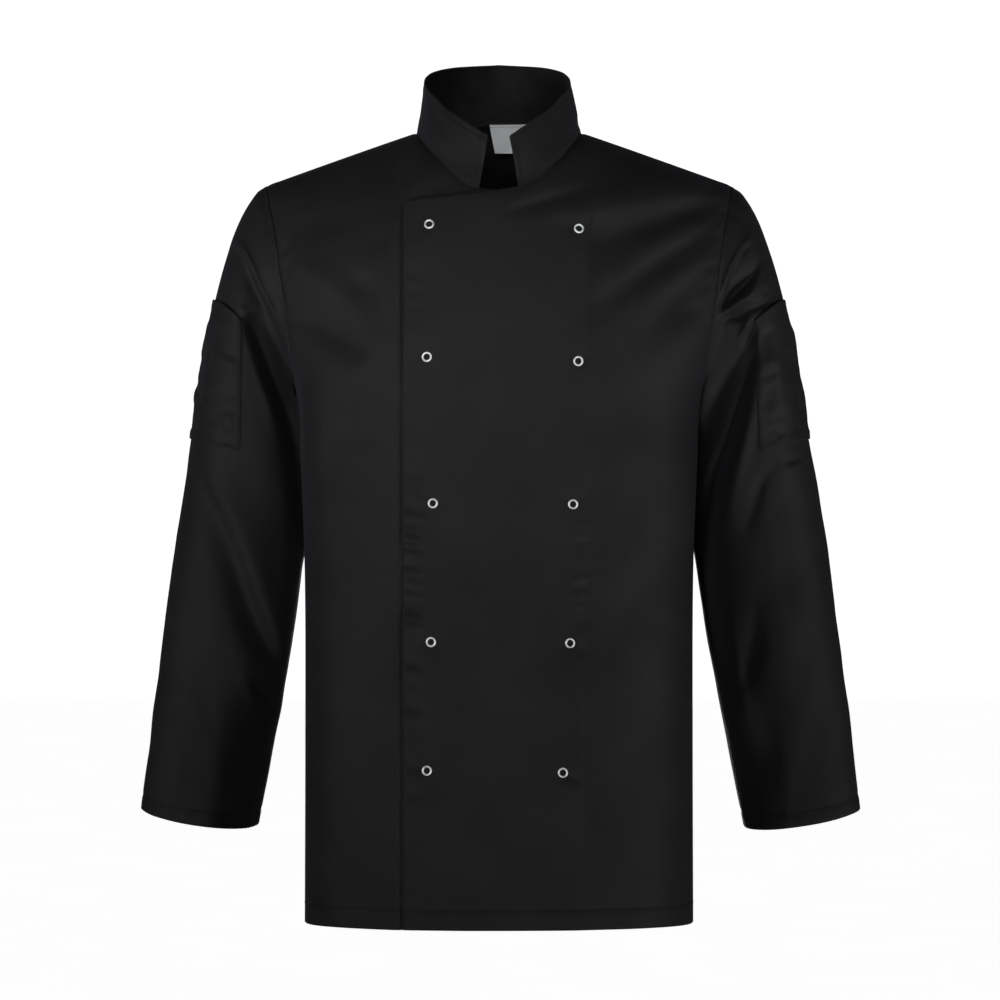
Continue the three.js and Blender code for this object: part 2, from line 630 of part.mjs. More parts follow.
/** Foot of the collar, which stands on the neckline's edge and follows the right front where that sinks. */
function collarFoot(angle, side, outward) {
  const place = neckPoint(angle);
  const plan = new THREE.Vector2(place.x, place.y);
  plan.addScaledVector(plan.clone().normalize(), outward);
  const z = formZ(plan.x, plan.y, place.face);
  const normal = formNormal(plan.x, plan.y, z, place.face);
  const sink = side < 0 && place.face === FRONT ? lapSink(plan.x, z) : 0;
  return new THREE.Vector3(plan.x, plan.y, z).addScaledVector(normal, CLOTH.seamGap - sink);
}

/** A point of the collar's rim for an angle of its foot, moved outward in plan. */
function rimPoint(footAngle, endAngle, side, outward) {
  const angle = mix(RIM.endAngle, 180, (footAngle - endAngle) / (180 - endAngle));
  const width = side > 0 ? RIM.leftWidth : RIM.rightWidth;
  const depth = angle < 90 ? RIM.front : RIM.back;
  const plan = new THREE.Vector2(width * Math.sin(radians(angle)), -depth * Math.cos(radians(angle)));
  plan.addScaledVector(plan.clone().normalize(), outward);
  return new THREE.Vector3(plan.x, plan.y, readTable(RIM_HEIGHTS, "angle", "z", angle));
}

/** The collar as one band, from its end on the right front, round the nape, to its end on the left front. */
function addCollar(group) {
  const angles = neckAngles();
  const half = [...angles.front, ...angles.back];
  const stations = [
    ...half.map((angle) => ({ angle, side: -1 })),
    ...half.slice(0, -1).reverse().map((angle) => ({ angle, side: 1 })),
  ];
  const pointAt = ({ angle, side }, up, outward) => {
    const foot = collarFoot(angle, side, outward);
    const point = foot.lerp(rimPoint(angle, angles.endAngle, side, outward), up);
    return point.setX(side * point.x);
  };
  const grid = Array.from({ length: CELLS.collarHeight + 1 }, (_, row) => {
    const up = row / CELLS.collarHeight;
    return stations.map((station) => {
      const point = pointAt(station, up, CLOTH.collarWall / 2);
      const inner = pointAt(station, up, -CLOTH.collarWall / 2);
      return { point, normal: point.clone().sub(inner).divideScalar(CLOTH.collarWall) };
    });
  });
  addMesh(group, "collar", wallGeometry(grid, CLOTH.collarWall), MATERIALS.twill);
}

/** A bare label that hangs from the inside of the collar's seam at the nape. */
function addLabel(group) {
  const places = Array.from({ length: LABEL.columns + 1 }, (_, column) => {
    const x = mix(LABEL.leftX, LABEL.rightX, column / LABEL.columns);
    const across = Math.abs(x / NECKLINE.halfWidth) ** NECKLINE.backPower;
    const y = NECKLINE.back * (1 - across) ** (1 / NECKLINE.backPower);
    return { x, y: y - CLOTH.collarWall / 2 - CLOTH.seamGap - LABEL.slack };
  });
  const grid = [LABEL.topZ, LABEL.bottomZ].map((z) =>
    places.map(({ x, y }) => ({ point: new THREE.Vector3(x, y, z), normal: new THREE.Vector3(0, 1, 0) })),
  );
  addMesh(group, "neck_label", wallGeometry(grid, CLOTH.labelWall), MATERIALS.label);
}

/** One open ring stud, turned to stand on the cloth. */
function addStud(group, name, x, z) {
  const profile = [
    [STUD.boreRadius, 0],
    [STUD.radius, 0],
    [STUD.radius, STUD.shoulderHeight],
    [STUD.shoulderRadius, STUD.height],
    [STUD.boreRadius, STUD.shoulderHeight],
    [STUD.boreRadius, 0],
  ].map(([radius, height]) => new THREE.Vector2(radius, height));
  const mesh = addMesh(group, name, new THREE.LatheGeometry(profile, STUD.sides), MATERIALS.metal);
  const { point, normal } = bodyPoint(x, z, FRONT);
  mesh.position.copy(point).addScaledVector(normal, CLOTH.seamGap);
  mesh.quaternion.setFromUnitVectors(new THREE.Vector3(0, 1, 0), normal);
}

function addStuds(group) {
  for (const { row, edgeX, edgeZ, sideX, sideZ } of STUD_ROWS) {
    addStud(group, `stud_a${row}`, edgeX, edgeZ);
    addStud(group, `stud_b${row}`, sideX, sideZ);
  }
}

const jacket = new THREE.Group();
addFront(jacket, "front_left", 1);
addFront(jacket, "front_right", -1);
addBack(jacket);
addSleeve(jacket, "left", { side: 1, swing: ARM_SWING.left, folds: LEFT_SLEEVE_FOLDS });
addSleeve(jacket, "right", { side: -1, swing: ARM_SWING.right, folds: RIGHT_SLEEVE_FOLDS });
addCollar(jacket);
addLabel(jacket);
addStuds(jacket);

export default jacket;
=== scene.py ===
"""A dark chef jacket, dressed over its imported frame: cloth panels, sleeves, collar, pockets, studs and label.

Sizes of the forms are in millimetres, in the frame of the part: +Z up, the front faces -Y and +X is the
wearer's left. Meshes are made in metres.
"""

import logging
import math
from dataclasses import dataclass, field
from enum import Enum
from typing import Sequence

import bpy
import numpy as np
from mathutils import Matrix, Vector


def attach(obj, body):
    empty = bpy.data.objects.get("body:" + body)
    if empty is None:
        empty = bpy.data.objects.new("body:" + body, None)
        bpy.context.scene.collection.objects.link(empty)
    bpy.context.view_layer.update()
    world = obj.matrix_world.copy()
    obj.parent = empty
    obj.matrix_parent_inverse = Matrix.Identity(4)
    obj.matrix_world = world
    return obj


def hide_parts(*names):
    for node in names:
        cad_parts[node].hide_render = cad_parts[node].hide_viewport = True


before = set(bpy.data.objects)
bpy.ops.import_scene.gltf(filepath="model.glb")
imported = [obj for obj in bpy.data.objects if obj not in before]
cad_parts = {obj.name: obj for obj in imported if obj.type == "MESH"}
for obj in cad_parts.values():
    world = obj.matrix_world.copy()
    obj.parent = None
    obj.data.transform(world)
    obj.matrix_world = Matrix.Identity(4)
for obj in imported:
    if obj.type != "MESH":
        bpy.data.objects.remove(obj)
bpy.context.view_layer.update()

LOG = logging.getLogger("chef_jacket")
MM = 0.001
BODY = "root"
Array = np.ndarray
Colour = tuple[float, float, float]


class Face(Enum):
    """The front or the back of the garment."""

    FRONT = -1
    BACK = 1

    @property
    def column(self) -> str:
        """Name of this face's depth in the table of sections."""
        return self.name.lower()


class Side(Enum):
    """The wearer's left or right."""

    LEFT = 1
    RIGHT = -1

    @property
    def word(self) -> str:
        """The side as it stands in the names of pieces."""
        return self.name.lower()


def mix(start: float | Array, end: float | Array, share: float | Array) -> float | Array:
    """Value that lies a share of the way from start to end."""
    return start + (end - start) * share


def smooth(low: float, high: float, value: float | Array) -> Array:
    """Smooth step from 0 at low to 1 at high."""
    share = np.clip((np.asarray(value, float) - low) / (high - low), 0, 1)
    return share * share * (3 - 2 * share)


def bell(offset: Array, width: float | Array) -> Array:
    """Bell curve: 1 in the middle, falling to 0.37 one width away."""
    return np.exp(-((offset / width) ** 2))


def signed_power(value: float | Array, power: float) -> Array:
    """Power of a size that keeps its sign."""
    return np.sign(value) * np.abs(value) ** power


def unit(vectors: Array) -> Array:
    """Vectors of length one, along the last axis."""
    return vectors / np.maximum(np.linalg.norm(vectors, axis=-1, keepdims=True), 1e-9)


def ripple(place: Array, seed: int) -> Array:
    """Smooth uneven wave between -1 and 1 with about one crest for each unit of place.

    Args:
        place: Where it is read.
        seed: Which wave it is.

    Returns:
        The wave's height at each place.
    """
    heights = np.random.default_rng(seed).uniform(-1, 1, 512)
    cell = np.floor(place).astype(int)
    share = place - cell
    share = share * share * (3 - 2 * share)
    return mix(heights[cell % 512], heights[(cell + 1) % 512], share)


def hills(first: Array, second: Array, seed: int) -> Array:
    """Smooth uneven ground between -1 and 1, with hills about one unit wide in both directions.

    Args:
        first: Place along the first direction.
        second: Place along the second direction.
        seed: Which ground it is.

    Returns:
        The ground's height at each place.
    """
    heights = np.random.default_rng(seed).uniform(-1, 1, (64, 64))
    row, column = np.floor(first).astype(int), np.floor(second).astype(int)
    down, along = first - row, second - column
    down = down * down * (3 - 2 * down)
    along = along * along * (3 - 2 * along)
    near = mix(heights[row % 64, column % 64], heights[row % 64, (column + 1) % 64], along)
    far = mix(heights[(row + 1) % 64, column % 64], heights[(row + 1) % 64, (column + 1) % 64], along)
    return mix(near, far, down)


@dataclass(frozen=True)
class SizeTable:
    """Rows of sizes along a key, read smoothly between the rows."""

    names: tuple[str, ...]
    rows: tuple[tuple[float, ...], ...]

    def read(self, name: str, place: float | Array) -> Array:
        """Size in a column at any place on the key.

        Args:
            name: The column's name.
            place: Places on the key column.

        Returns:
            The size at each place.
        """
        keys = np.array([row[0] for row in self.rows], float)
        values = np.array([row[self.names.index(name)] for row in self.rows], float)
        slopes = self._slopes(keys, values)
        place = np.clip(place, keys[0], keys[-1])
        upper = np.clip(np.searchsorted(keys, place, side="right"), 1, len(keys) - 1)
        lower = upper - 1
        step = keys[upper] - keys[lower]
        share = (place - keys[lower]) / step
        square, cube = share**2, share**3
        return (
            (2 * cube - 3 * square + 1) * values[lower]
            + (cube - 2 * square + share) * step * slopes[lower]
            + (3 * square - 2 * cube) * values[upper]
            + (cube - square) * step * slopes[upper]
        )

    @staticmethod
    def _slopes(keys: Array, values: Array) -> Array:
        """Slope at each row, from the rows beside it.

        Args:
            keys: The key of each row.
            values: The size in each row.

        Returns:
            One slope for each row.
        """
        after = np.minimum(np.arange(len(keys)) + 1, len(keys) - 1)
        before = np.maximum(np.arange(len(keys)) - 1, 0)
        return (values[after] - values[before]) / (keys[after] - keys[before])


@dataclass(frozen=True)
class Crease:
    """A fold on a curve of the front view: a trough where its rise is below zero, else a ridge.

    Each point holds x, z and the rise there. Width is the flank on the right of the way along the
    points, and far_width the one on the left.
    """

    points: tuple[tuple[float, float, float], ...]
    width: float
    far_width: float | None = None

    def _curve(self) -> Array:
        """The points with a smooth curve put through them.

        Returns:
            Rows of x, z and rise.
        """
        given = np.array(self.points, float)
        ends = np.concatenate([[2 * given[0] - given[1]], given, [2 * given[-1] - given[-2]]])
        share = np.linspace(0, 1, 6)[:-1, None]
        parts = []
        for a, b, c, d in zip(ends, ends[1:], ends[2:], ends[3:]):
            bent = (2 * a - 5 * b + 4 * c - d) * share**2 + (3 * b - a - 3 * c + d) * share**3
            parts.append(b + (c - a) * share / 2 + bent / 2)
        return np.concatenate([*parts, given[-1:]])

    def rise(self, x: Array, z: Array) -> Array:
        """Height of the fold.

        Args:
            x: Places across.
            z: Heights.

        Returns:
            How far the cloth stands out there.
        """
        x, z = np.broadcast_arrays(x, z)
        result = np.zeros(x.shape)
        curve = self._curve()
        far_width = self.far_width or self.width
        margin = 2.6 * max(self.width, far_width)
        low, high = curve.min(axis=0) - margin, curve.max(axis=0) + margin
        near = (x > low[0]) & (x < high[0]) & (z > low[1]) & (z < high[1])
        if not near.any():
            return result
        x, z = x[near], z[near]
        nearest = np.full(x.shape, np.inf)
        rise, flank = np.zeros(x.shape), np.zeros(x.shape)
        for (x1, z1, rise1), (x2, z2, rise2) in zip(curve, curve[1:]):
            along_x, along_z = x2 - x1, z2 - z1
            share = ((x - x1) * along_x + (z - z1) * along_z) / (along_x**2 + along_z**2)
            held = np.clip(share, 0, 1)
            away = np.hypot(x - x1 - held * along_x, z - z1 - held * along_z)
            nearer = away < nearest
            nearest = np.where(nearer, away, nearest)
            rise = np.where(nearer, mix(rise1, rise2, held), rise)
            flank = np.where(nearer, along_x * (z - z1) - along_z * (x - x1), flank)
        side = smooth(-1, 1, flank / np.maximum(np.hypot(along_x, along_z), 1e-6) / 2)
        width = mix(self.width, far_width, side)
        result[near] = rise * bell(nearest, width)
        return result


@dataclass(frozen=True)
class BodyForm:
    """The body's plain form: superelliptic sections that close over the shoulders in a round."""

    power: float = 2.4
    chest_z: float = -262.0
    hem_z: float = -783.0
    hem_drop: float = 2.0
    hem_power: float = 6.0
    neck_x: float = 82.0
    neck_z: float = 2.0
    tip_x: float = 231.0
    tip_z: float = -50.5
    nape_rise: float = 44.0
    middle_round: float = 34.0
    sections: SizeTable = SizeTable(
        ("z", "half_width", "front", "back"),
        (
            (-790, 194, 129, 127), (-600, 193.5, 127, 121), (-440, 194, 127, 118), (-330, 198, 130, 124),
            (-262, 202, 131, 129), (-210, 219, 131, 130), (-156, 235, 131, 130), (-100, 248, 131, 130),
            (-50, 258, 131, 130), (60, 264, 131, 130),
        ),
    )
    armhole: SizeTable = SizeTable(
        ("z", "front", "back"),
        (
            (-262, 202, 202), (-231, 205.3, 201.6), (-195, 210.5, 202), (-156, 215.5, 203.5),
            (-110, 220.5, 209.5), (-70, 228, 223), (-50.5, 231, 231),
        ),
    )

    def ridge(self, x: Array, face: Face) -> Array:
        """Height of the line that the body closes to at its top.

        Args:
            x: Places across.
            face: Front or back.

        Returns:
            The line's height at each place.
        """
        slope = (self.neck_z - self.tip_z) / (
            math.hypot(self.tip_x, self.middle_round) - math.hypot(self.neck_x, self.middle_round)
        )
        from_neck = np.hypot(x, self.middle_round) - math.hypot(self.neck_x, self.middle_round)
        line = self.neck_z - slope * from_neck
        if face is Face.BACK:
            line = line + self.nape_rise * (1 - smooth(0, self.neck_x, np.abs(x)))
        return line

    def rise_share(self, x: Array, z: Array, face: Face) -> Array:
        """Share of the way from the chest up to the ridge."""
        return np.clip((z - self.chest_z) / (self.ridge(x, face) - self.chest_z), 0, 1)

    def section_depth(self, x: Array, z: Array, face: Face) -> Array:
        """Depth of the section at a place across, before it closes over the shoulder."""
        across = np.minimum(1, np.abs(x) / self.sections.read("half_width", z)) ** self.power
        return self.sections.read(face.column, z) * (1 - across) ** (1 / self.power)

    def depth(self, x: Array, z: Array, face: Face) -> Array:
        """The form's Y at a point of the front view."""
        closing = np.sqrt(1 - self.rise_share(x, z, face) ** 2)
        return face.value * self.section_depth(x, z, face) * closing

    def height(self, x: Array, y: Array, face: Face) -> Array:
        """Height of the form above a point of the plan, near the neck.

        Args:
            x: Places across.
            y: Depths.
            face: Front or back.

        Returns:
            The height at each place.
        """
        ridge = self.ridge(x, face)
        z = np.array(ridge, float)
        for _ in range(6):
            closing = np.maximum(0, 1 - (y / self.section_depth(x, z, face)) ** 2)
            z = self.chest_z + (ridge - self.chest_z) * np.sqrt(closing)
        return z

    def normal(self, x: Array, y: Array, z: Array, face: Face) -> Array:
        """Outward direction of the form, from the slope of its implicit equation.

        Args:
            x: Places across.
            y: Depths.
            z: Heights.
            face: Front or back.

        Returns:
            Directions of length one.
        """

        def level(px: Array, py: Array, pz: Array) -> Array:
            """Value that is zero on the form.

            Args:
                px: Places across.
                py: Depths.
                pz: Heights.

            Returns:
                Below zero inside the form and above zero outside it.
            """
            across = np.minimum(1, np.abs(px) / self.sections.read("half_width", pz)) ** self.power
            rise = np.maximum(0, (pz - self.chest_z) / (self.ridge(px, face) - self.chest_z))
            depth = self.sections.read(face.column, pz)
            return (py / depth) ** 2 - (1 - across) ** (2 / self.power) * (1 - rise**2)

        step = 0.5
        slopes = (
            level(x + step, y, z) - level(x - step, y, z),
            level(x, y + step, z) - level(x, y - step, z),
            level(x, y, z + step) - level(x, y, z - step),
        )
        return unit(np.stack(slopes, axis=-1))


@dataclass(frozen=True)
class Seams:
    """Sizes that several pieces share: cloth, gaps, hems and stitches."""

    gap: float = 0.4
    cloth: float = 1.2
    collar_cloth: float = 2.0
    pocket_cloth: float = 1.2
    hem: float = 19.5
    cuff_hem: float = 14.0
    lap_edge: float = -92.0
    stitch_lift: float = 0.08
    patch_stitch_lift: float = 0.1
    far_from_stitch: float = 60.0


FORM = BodyForm()
SEAMS = Seams()

# Studs by their row: x and z of the one near the free edge, then of the one across.
STUD_PLACES = (
    (-68, -96, 78, -100),
    (-70, -226, 77, -230),
    (-64, -368, 72, -369),
    (-66, -503, 69, -504),
    (-70, -628, 62, -630),
)

FRONT_CREASES = (
    # folds that fan out from the left armhole over the chest
    Crease(((229, -64, 1.5), (194, -63, 4.4), (150, -69, 5.4), (106, -80, 5), (72, -85, 3), (40, -82, 0)), 26, 10),
    Crease(((226, -72, -1), (194, -76, -3.6), (150, -92, -4), (107, -107, -3), (80, -118, 0)), 9, 14),
    Crease(((224, -81, 1), (194, -94, 2.4), (150, -117, 2.8), (106, -149, 1.8), (84, -164, 0)), 12),
    Crease(((222, -92, -1.4), (194, -110, -3.6), (150, -138, -3.8), (106, -171, -2.2), (84, -190, 0)), 10, 13),
    Crease(((216, -101, 1), (194, -124, 3), (150, -160, 3), (112, -190, 0)), 12, 14),
    Crease(((209, -133, 0), (184, -160, -1.8), (155, -192, -1.6), (130, -220, 0)), 12),
    Crease(((210, -186, 0), (184, -206, 0.9), (155, -232, 0.5), (130, -262, 0)), 16),
    Crease(((205, -166, 0), (190, -180, -1.6), (172, -188, 0)), 9),
    Crease(((229, -78, -0.6), (222, -80, -1.6), (214, -79, 0)), 2.6),
    Crease(((222, -90, 0), (214, -98, 1.4), (204, -103, 0)), 2.8),
    Crease(((214, -128, 0), (208, -134, -0.9), (200, -138, 0)), 2.6),
    Crease(((211, -148, 0), (205, -156, -0.9), (197, -160, 0)), 2.6),
    # small crease that runs out from under the collar
    Crease(((96, -55, 0), (66, -64, -2.2), (42, -71, -3), (20, -78, -1.6), (4, -84, 0)), 4, 9),
    # right chest
    Crease(((-214, -112, 0), (-182, -144, 2.6), (-150, -176, 3), (-124, -206, 1.6), (-108, -226, 0)), 15, 13),
    Crease(((-216, -168, -3), (-190, -186, -6.4), (-166, -199, -6), (-142, -213, -3), (-122, -226, 0)), 16, 30),
    Crease(((-124, -222, 0), (-141, -238, 4), (-157, -262, 6.6), (-173, -305, 5), (-182, -350, 0)), 36, 13),
    Crease(((-99, -72, 2.4), (-99, -250, 3), (-99, -500, 2.6), (-99, -700, 2.4), (-99, -840, 2.4)), 26, 40),
    Crease(((-134, -136, 0), (-137, -150, -1.3), (-140, -166, 0)), 12),
    Crease(((-108, -254, 0), (-104, -270, -1.2), (-108, -284, 0)), 9),
    Crease(((-140, -292, 0), (-134, -304, -1.4), (-128, -316, 0)), 11),
    Crease(((-215, -124, 0), (-211, -116, -1.3), (-207, -110, 0)), 2.2),
    Crease(((-214, -139, 0), (-209, -131, -1.5), (-202, -124, 0)), 2.2),
    Crease(((-213, -150, 0), (-209, -143, -1.3), (-205, -136, 0)), 2.2),
    Crease(((-211, -166, 0), (-206, -160, -1), (-201, -154, 0)), 2.4),
    Crease(((-214, -100, 0), (-180, -92, -1.6), (-140, -86, 0)), 12),
    Crease(((-108, -104, 0), (-120, -110, -1.4), (-132, -120, 0)), 10),
    Crease(((-150, -150, 0), (-130, -160, -1.5), (-112, -176, 0)), 11),
    # waist and hips
    Crease(((196, -398, -0.6), (160, -430, -2), (122, -478, -1.6), (104, -528, 0)), 17, 26),
    Crease(((194, -470, 0), (160, -510, 1.5), (130, -570, 0)), 20),
    Crease(((190, -560, -0.4), (150, -600, -1.5), (120, -668, -1.2), (112, -730, 0)), 22),
    Crease(((-194, -420, -0.4), (-160, -452, -1.8), (-122, -506, 0)), 18, 24),
    Crease(((-190, -520, 0), (-158, -560, 1.4), (-128, -640, 0)), 22),
    Crease(((-186, -610, 0), (-150, -652, -1.6), (-122, -740, 0)), 22),
    Crease(((64, -628, -0.4), (72, -635, -2.2), (80, -642, -0.6)), 2.6),
    Crease(((-20, -300, 0), (12, -390, -1), (24, -470, 0)), 26),
    Crease(((-40, -440, 0), (-8, -500, 1.6), (16, -530, 0)), 26),
    Crease(((-30, -620, 0), (-10, -700, -1.2), (0, -780, -0.6)), 26),
    Crease(((-80, -234, 0), (-84, -238, -1), (-90, -242, 0)), 2.2),
)

BACK_CREASES = (
    Crease(((214, -96, -1), (196, -112, -5), (158, -150, -4.5), (110, -196, 0)), 12, 18),
    Crease(((206, -140, 0.6), (176, -168, 2.6), (130, -214, 0)), 12),
    Crease(((203, -176, -1), (184, -196, -4), (150, -236, -2.6), (112, -284, 0)), 13, 18),
    Crease(((202, -226, 0), (176, -256, 2), (146, -310, 0)), 16),
    Crease(((-213, -102, -1), (-190, -122, -4.5), (-150, -160, -4), (-104, -198, 0)), 12, 18),
    Crease(((-205, -150, 0.6), (-176, -178, 2.4), (-128, -226, 0)), 12),
    Crease(((-203, -184, -1), (-182, -206, -4), (-146, -250, -2.4), (-110, -290, 0)), 13, 18),
    Crease(((-202, -240, 0), (-172, -270, 1.8), (-140, -330, 0)), 16),
    Crease(((60, -16, 0), (30, -34, -1.6), (-34, -36, -1.6), (-62, -14, 0)), 9),
    Crease(((-84, -66, 0), (-20, -78, 1.2), (60, -76, 1.2), (96, -58, 0)), 16),
    Crease(((112, -280, 0), (104, -420, -3.4), (98, -600, -5), (94, -783, -6)), 26, 34),
    Crease(((-116, -300, 0), (-98, -440, -3), (-88, -620, -5), (-84, -783, -5.5)), 24, 34),
    Crease(((-6, -430, 0), (4, -560, 2), (14, -783, 5)), 34),
    Crease(((160, -420, 0), (150, -600, 1.6), (146, -783, 3)), 24),
    Crease(((-158, -450, 0), (-146, -640, 1.5), (-140, -783, 2.6)), 24),
    Crease(((188, -372, 0), (140, -388, -1.8), (84, -372, 0)), 11),
    Crease(((-186, -390, 0), (-136, -404, -1.8), (-70, -392, 0)), 11),
    Crease(((60, -410, 0), (0, -424, -1.4), (-56, -412, 0)), 13),
    Crease(((194, -520, 0), (170, -540, -1.6), (140, -590, 0)), 14),
    Crease(((-192, -500, 0), (-168, -524, -1.6), (-136, -570, 0)), 14),
)


def edge_puckers(x: Array, z: Array) -> Array:
    """Small puckers along the free edge and along the line that the hidden edge presses through.

    Args:
        x: Places across.
        z: Heights.

    Returns:
        How far the cloth stands out.
    """
    below = 1 - smooth(-96, -78, z)
    at_edge = bell(x - SEAMS.lap_edge - 7, 11)
    strength = 0.5 + 2.4 * bell(z + 433, 76) + 1.6 * bell(z + 596, 44)
    edge = strength * at_edge * (0.8 * ripple(z / 10 + x / 50, 11) + 0.7 * ripple(z / 6 + x / 34, 14))
    hidden = bell(x - 80, 8)
    uneven = 0.3 + 0.9 * bell(z + 445, 66) + 0.6 * bell(z + 120, 50)
    hidden_wave = 0.5 * ripple(z / 6 - x / 60, 13) + 0.5 * ripple(z / 4 - x / 40, 15)
    return below * (edge + uneven * hidden * hidden_wave)


def hidden_edge_ridge(x: Array, z: Array) -> Array:
    """The under panel's edge, which shows through the over panel as a low step.

    Args:
        x: Places across.
        z: Heights.

    Returns:
        How far the cloth stands out.
    """
    centre = np.interp(-z, [70, 220, 360, 480, 640, 790], [90.5, 87.5, 83.5, 82, 79.5, 78.5])
    step = smooth(-2.6, 2.6, centre - x) - 0.5
    return 1.1 * (1 - smooth(-84, -70, z)) * step * bell(x - centre, 26)


def stud_dimples(x: Array, z: Array) -> Array:
    """Cloth pulled in round each stud, with short puckers that point at it.

    Args:
        x: Places across.
        z: Heights.

    Returns:
        How far the cloth stands out, below zero at a stud.
    """
    total = np.zeros(np.shape(x))
    for edge_x, edge_z, side_x, side_z in STUD_PLACES:
        for at_x, at_z in ((edge_x, edge_z), (side_x, side_z)):
            away = np.hypot(x - at_x, z - at_z)
            turn = np.arctan2(z - at_z, x - at_x)
            rays = np.cos(3 * turn + at_z) * bell(away - 12, 8)
            total += -1.1 * bell(away, 11) + 0.28 * rays
    return total


def front_relief(x: Array, z: Array) -> Array:
    """Every fold and pucker of the front.

    Args:
        x: Places across.
        z: Heights.

    Returns:
        How far the cloth stands out from the plain form.
    """
    total = sum(crease.rise(x, z) for crease in FRONT_CREASES)
    total = total + 1.2 * hills(x / 74 + 9, z / 105 + 20, 21) + 0.75 * hills(x / 34 + 9, z / 46 + 40, 22)
    total = total + 0.2 * hills(x / 15 + 30, z / 18 + 60, 23)
    return total + stud_dimples(x, z) + hidden_edge_ridge(x, z)


def back_relief(x: Array, z: Array) -> Array:
    """Every fold and pucker of the back.

    Args:
        x: Places across.
        z: Heights.

    Returns:
        How far the cloth stands out from the plain form.
    """
    total = sum(crease.rise(x, z) for crease in BACK_CREASES)
    total = total + 1.2 * hills(x / 78 + 5, z / 110 + 31, 31) + 0.75 * hills(x / 36 + 5, z / 48 + 44, 32)
    return total + 0.2 * hills(x / 15 + 30, z / 18 + 60, 33)


def seam_grooves(x: Array, y: Array, z: Array, face: Face) -> Array:
    """Cloth pulled down where it is sewn to a sleeve or to the collar.

    Args:
        x: Places across.
        y: Depths on the plain form.
        z: Heights.
        face: Front or back.

    Returns:
        How far the cloth stands out, below zero at a seam.
    """
    to_sleeve = np.maximum(FORM.armhole.read(face.column, z) - np.abs(x), 0)
    beside = smooth(-266, -252, z) * bell(to_sleeve, 2.4)
    drags = beside_drags(to_sleeve, z, 17 + face.value)
    front = face is Face.FRONT
    power = PLAN.front_power if front else PLAN.back_power
    reach = PLAN.neck_front if front else PLAN.neck_back
    round_neck = ((np.abs(x) / FORM.neck_x) ** power + (np.abs(y) / reach) ** power) ** (1 / power)
    to_collar = np.maximum(round_neck - 1, 0) * PLAN.neck_reach
    at_collar = smooth(-90, -60, z) * bell(to_collar, 2.2)
    return -0.5 * beside + drags - 1.2 * at_collar


def beside_drags(to_sleeve: Array, z: Array, seed: int) -> Array:
    """Short drags that the armhole seam makes in the body."""
    return 0.6 * smooth(-266, -246, z) * ripple(z / 8, seed) * bell(to_sleeve - 5, 6)


def hem_relief(z_above: Array, along: Array, depth: float, seed: int) -> Array:
    """Doubled cloth of a hem with the small drags that its stitching makes.

    Args:
        z_above: Height above the foot.
        along: Distance along the hem.
        depth: Height of the stitching.
        seed: Which drags they are.

    Returns:
        How far the cloth stands out.
    """
    doubled = 0.35 * (1 - smooth(depth - 2.5, depth + 1.5, z_above))
    sewn = -0.55 * bell(z_above - depth, 1.9)
    drags = 0.42 * ripple(along / 8 + z_above / 22, seed) * bell(z_above - depth, 10)
    return doubled + sewn + drags


def body_points(x: Array, z: Array, face: Face, sink: float | Array = 0.0) -> Array:
    """Points of the outside of the body, with its folds.

    Args:
        x: Places across.
        z: Heights.
        face: Front or back.
        sink: How deep the cloth lies under the form.

    Returns:
        The points, with their coordinates on the last axis.
    """
    y = FORM.depth(x, z, face)
    normal = FORM.normal(x, y, z, face)
    side = 1 - np.abs(x) / FORM.sections.read("half_width", z)
    fade = smooth(0, 0.06, side) * smooth(0, 0.1, 1 - FORM.rise_share(x, z, face))
    relief = front_relief(x, z) if face is Face.FRONT else back_relief(x, z)
    foot = FORM.hem_z - FORM.hem_drop * np.abs(x / FORM.sections.read("half_width", z)) ** FORM.hem_power
    hem = hem_relief(z - foot, x, SEAMS.hem, 41 + face.value)
    rise = relief * fade + hem * smooth(0, 0.03, side) + seam_grooves(x, y, z, face) - sink
    points = np.stack([x, y, z], axis=-1).astype(float)
    return points + normal * np.asarray(rise)[..., None]


def grid_normals(points: Array, closed: bool) -> Array:
    """Directions square to a grid of points.

    Args:
        points: Rows of points.
        closed: Whether each row closes on itself.

    Returns:
        One direction of length one for each point.
    """
    if closed:
        along = np.roll(points, -1, axis=1) - np.roll(points, 1, axis=1)
    else:
        along = np.gradient(points, axis=1)
    return unit(np.cross(along, np.gradient(points, axis=0)))


def section_shares(z: float, from_x: float, face: Face, cells: int) -> Array:
    """Shares of the half width, evenly spaced along the cloth of a section.

    Args:
        z: Height of the section.
        from_x: Place of the inner edge.
        face: Front or back.
        cells: How many cells there are.

    Returns:
        One share for each edge of a cell, up to the side seam.
    """
    half_width = float(FORM.sections.read("half_width", z))
    depth = float(FORM.sections.read(face.column, z))
    start = math.asin(float(signed_power(from_x / half_width, FORM.power / 2)))
    angle = np.linspace(start, math.pi / 2, 481)
    x = half_width * signed_power(np.sin(angle), 2 / FORM.power)
    y = depth * np.abs(np.cos(angle)) ** (2 / FORM.power)
    length = np.concatenate([[0], np.cumsum(np.hypot(np.diff(x), np.diff(y)))])
    target = np.linspace(0, length[-1] - SEAMS.gap / 2, cells + 1)
    return signed_power(np.sin(np.interp(target, length, angle)), 2 / FORM.power)


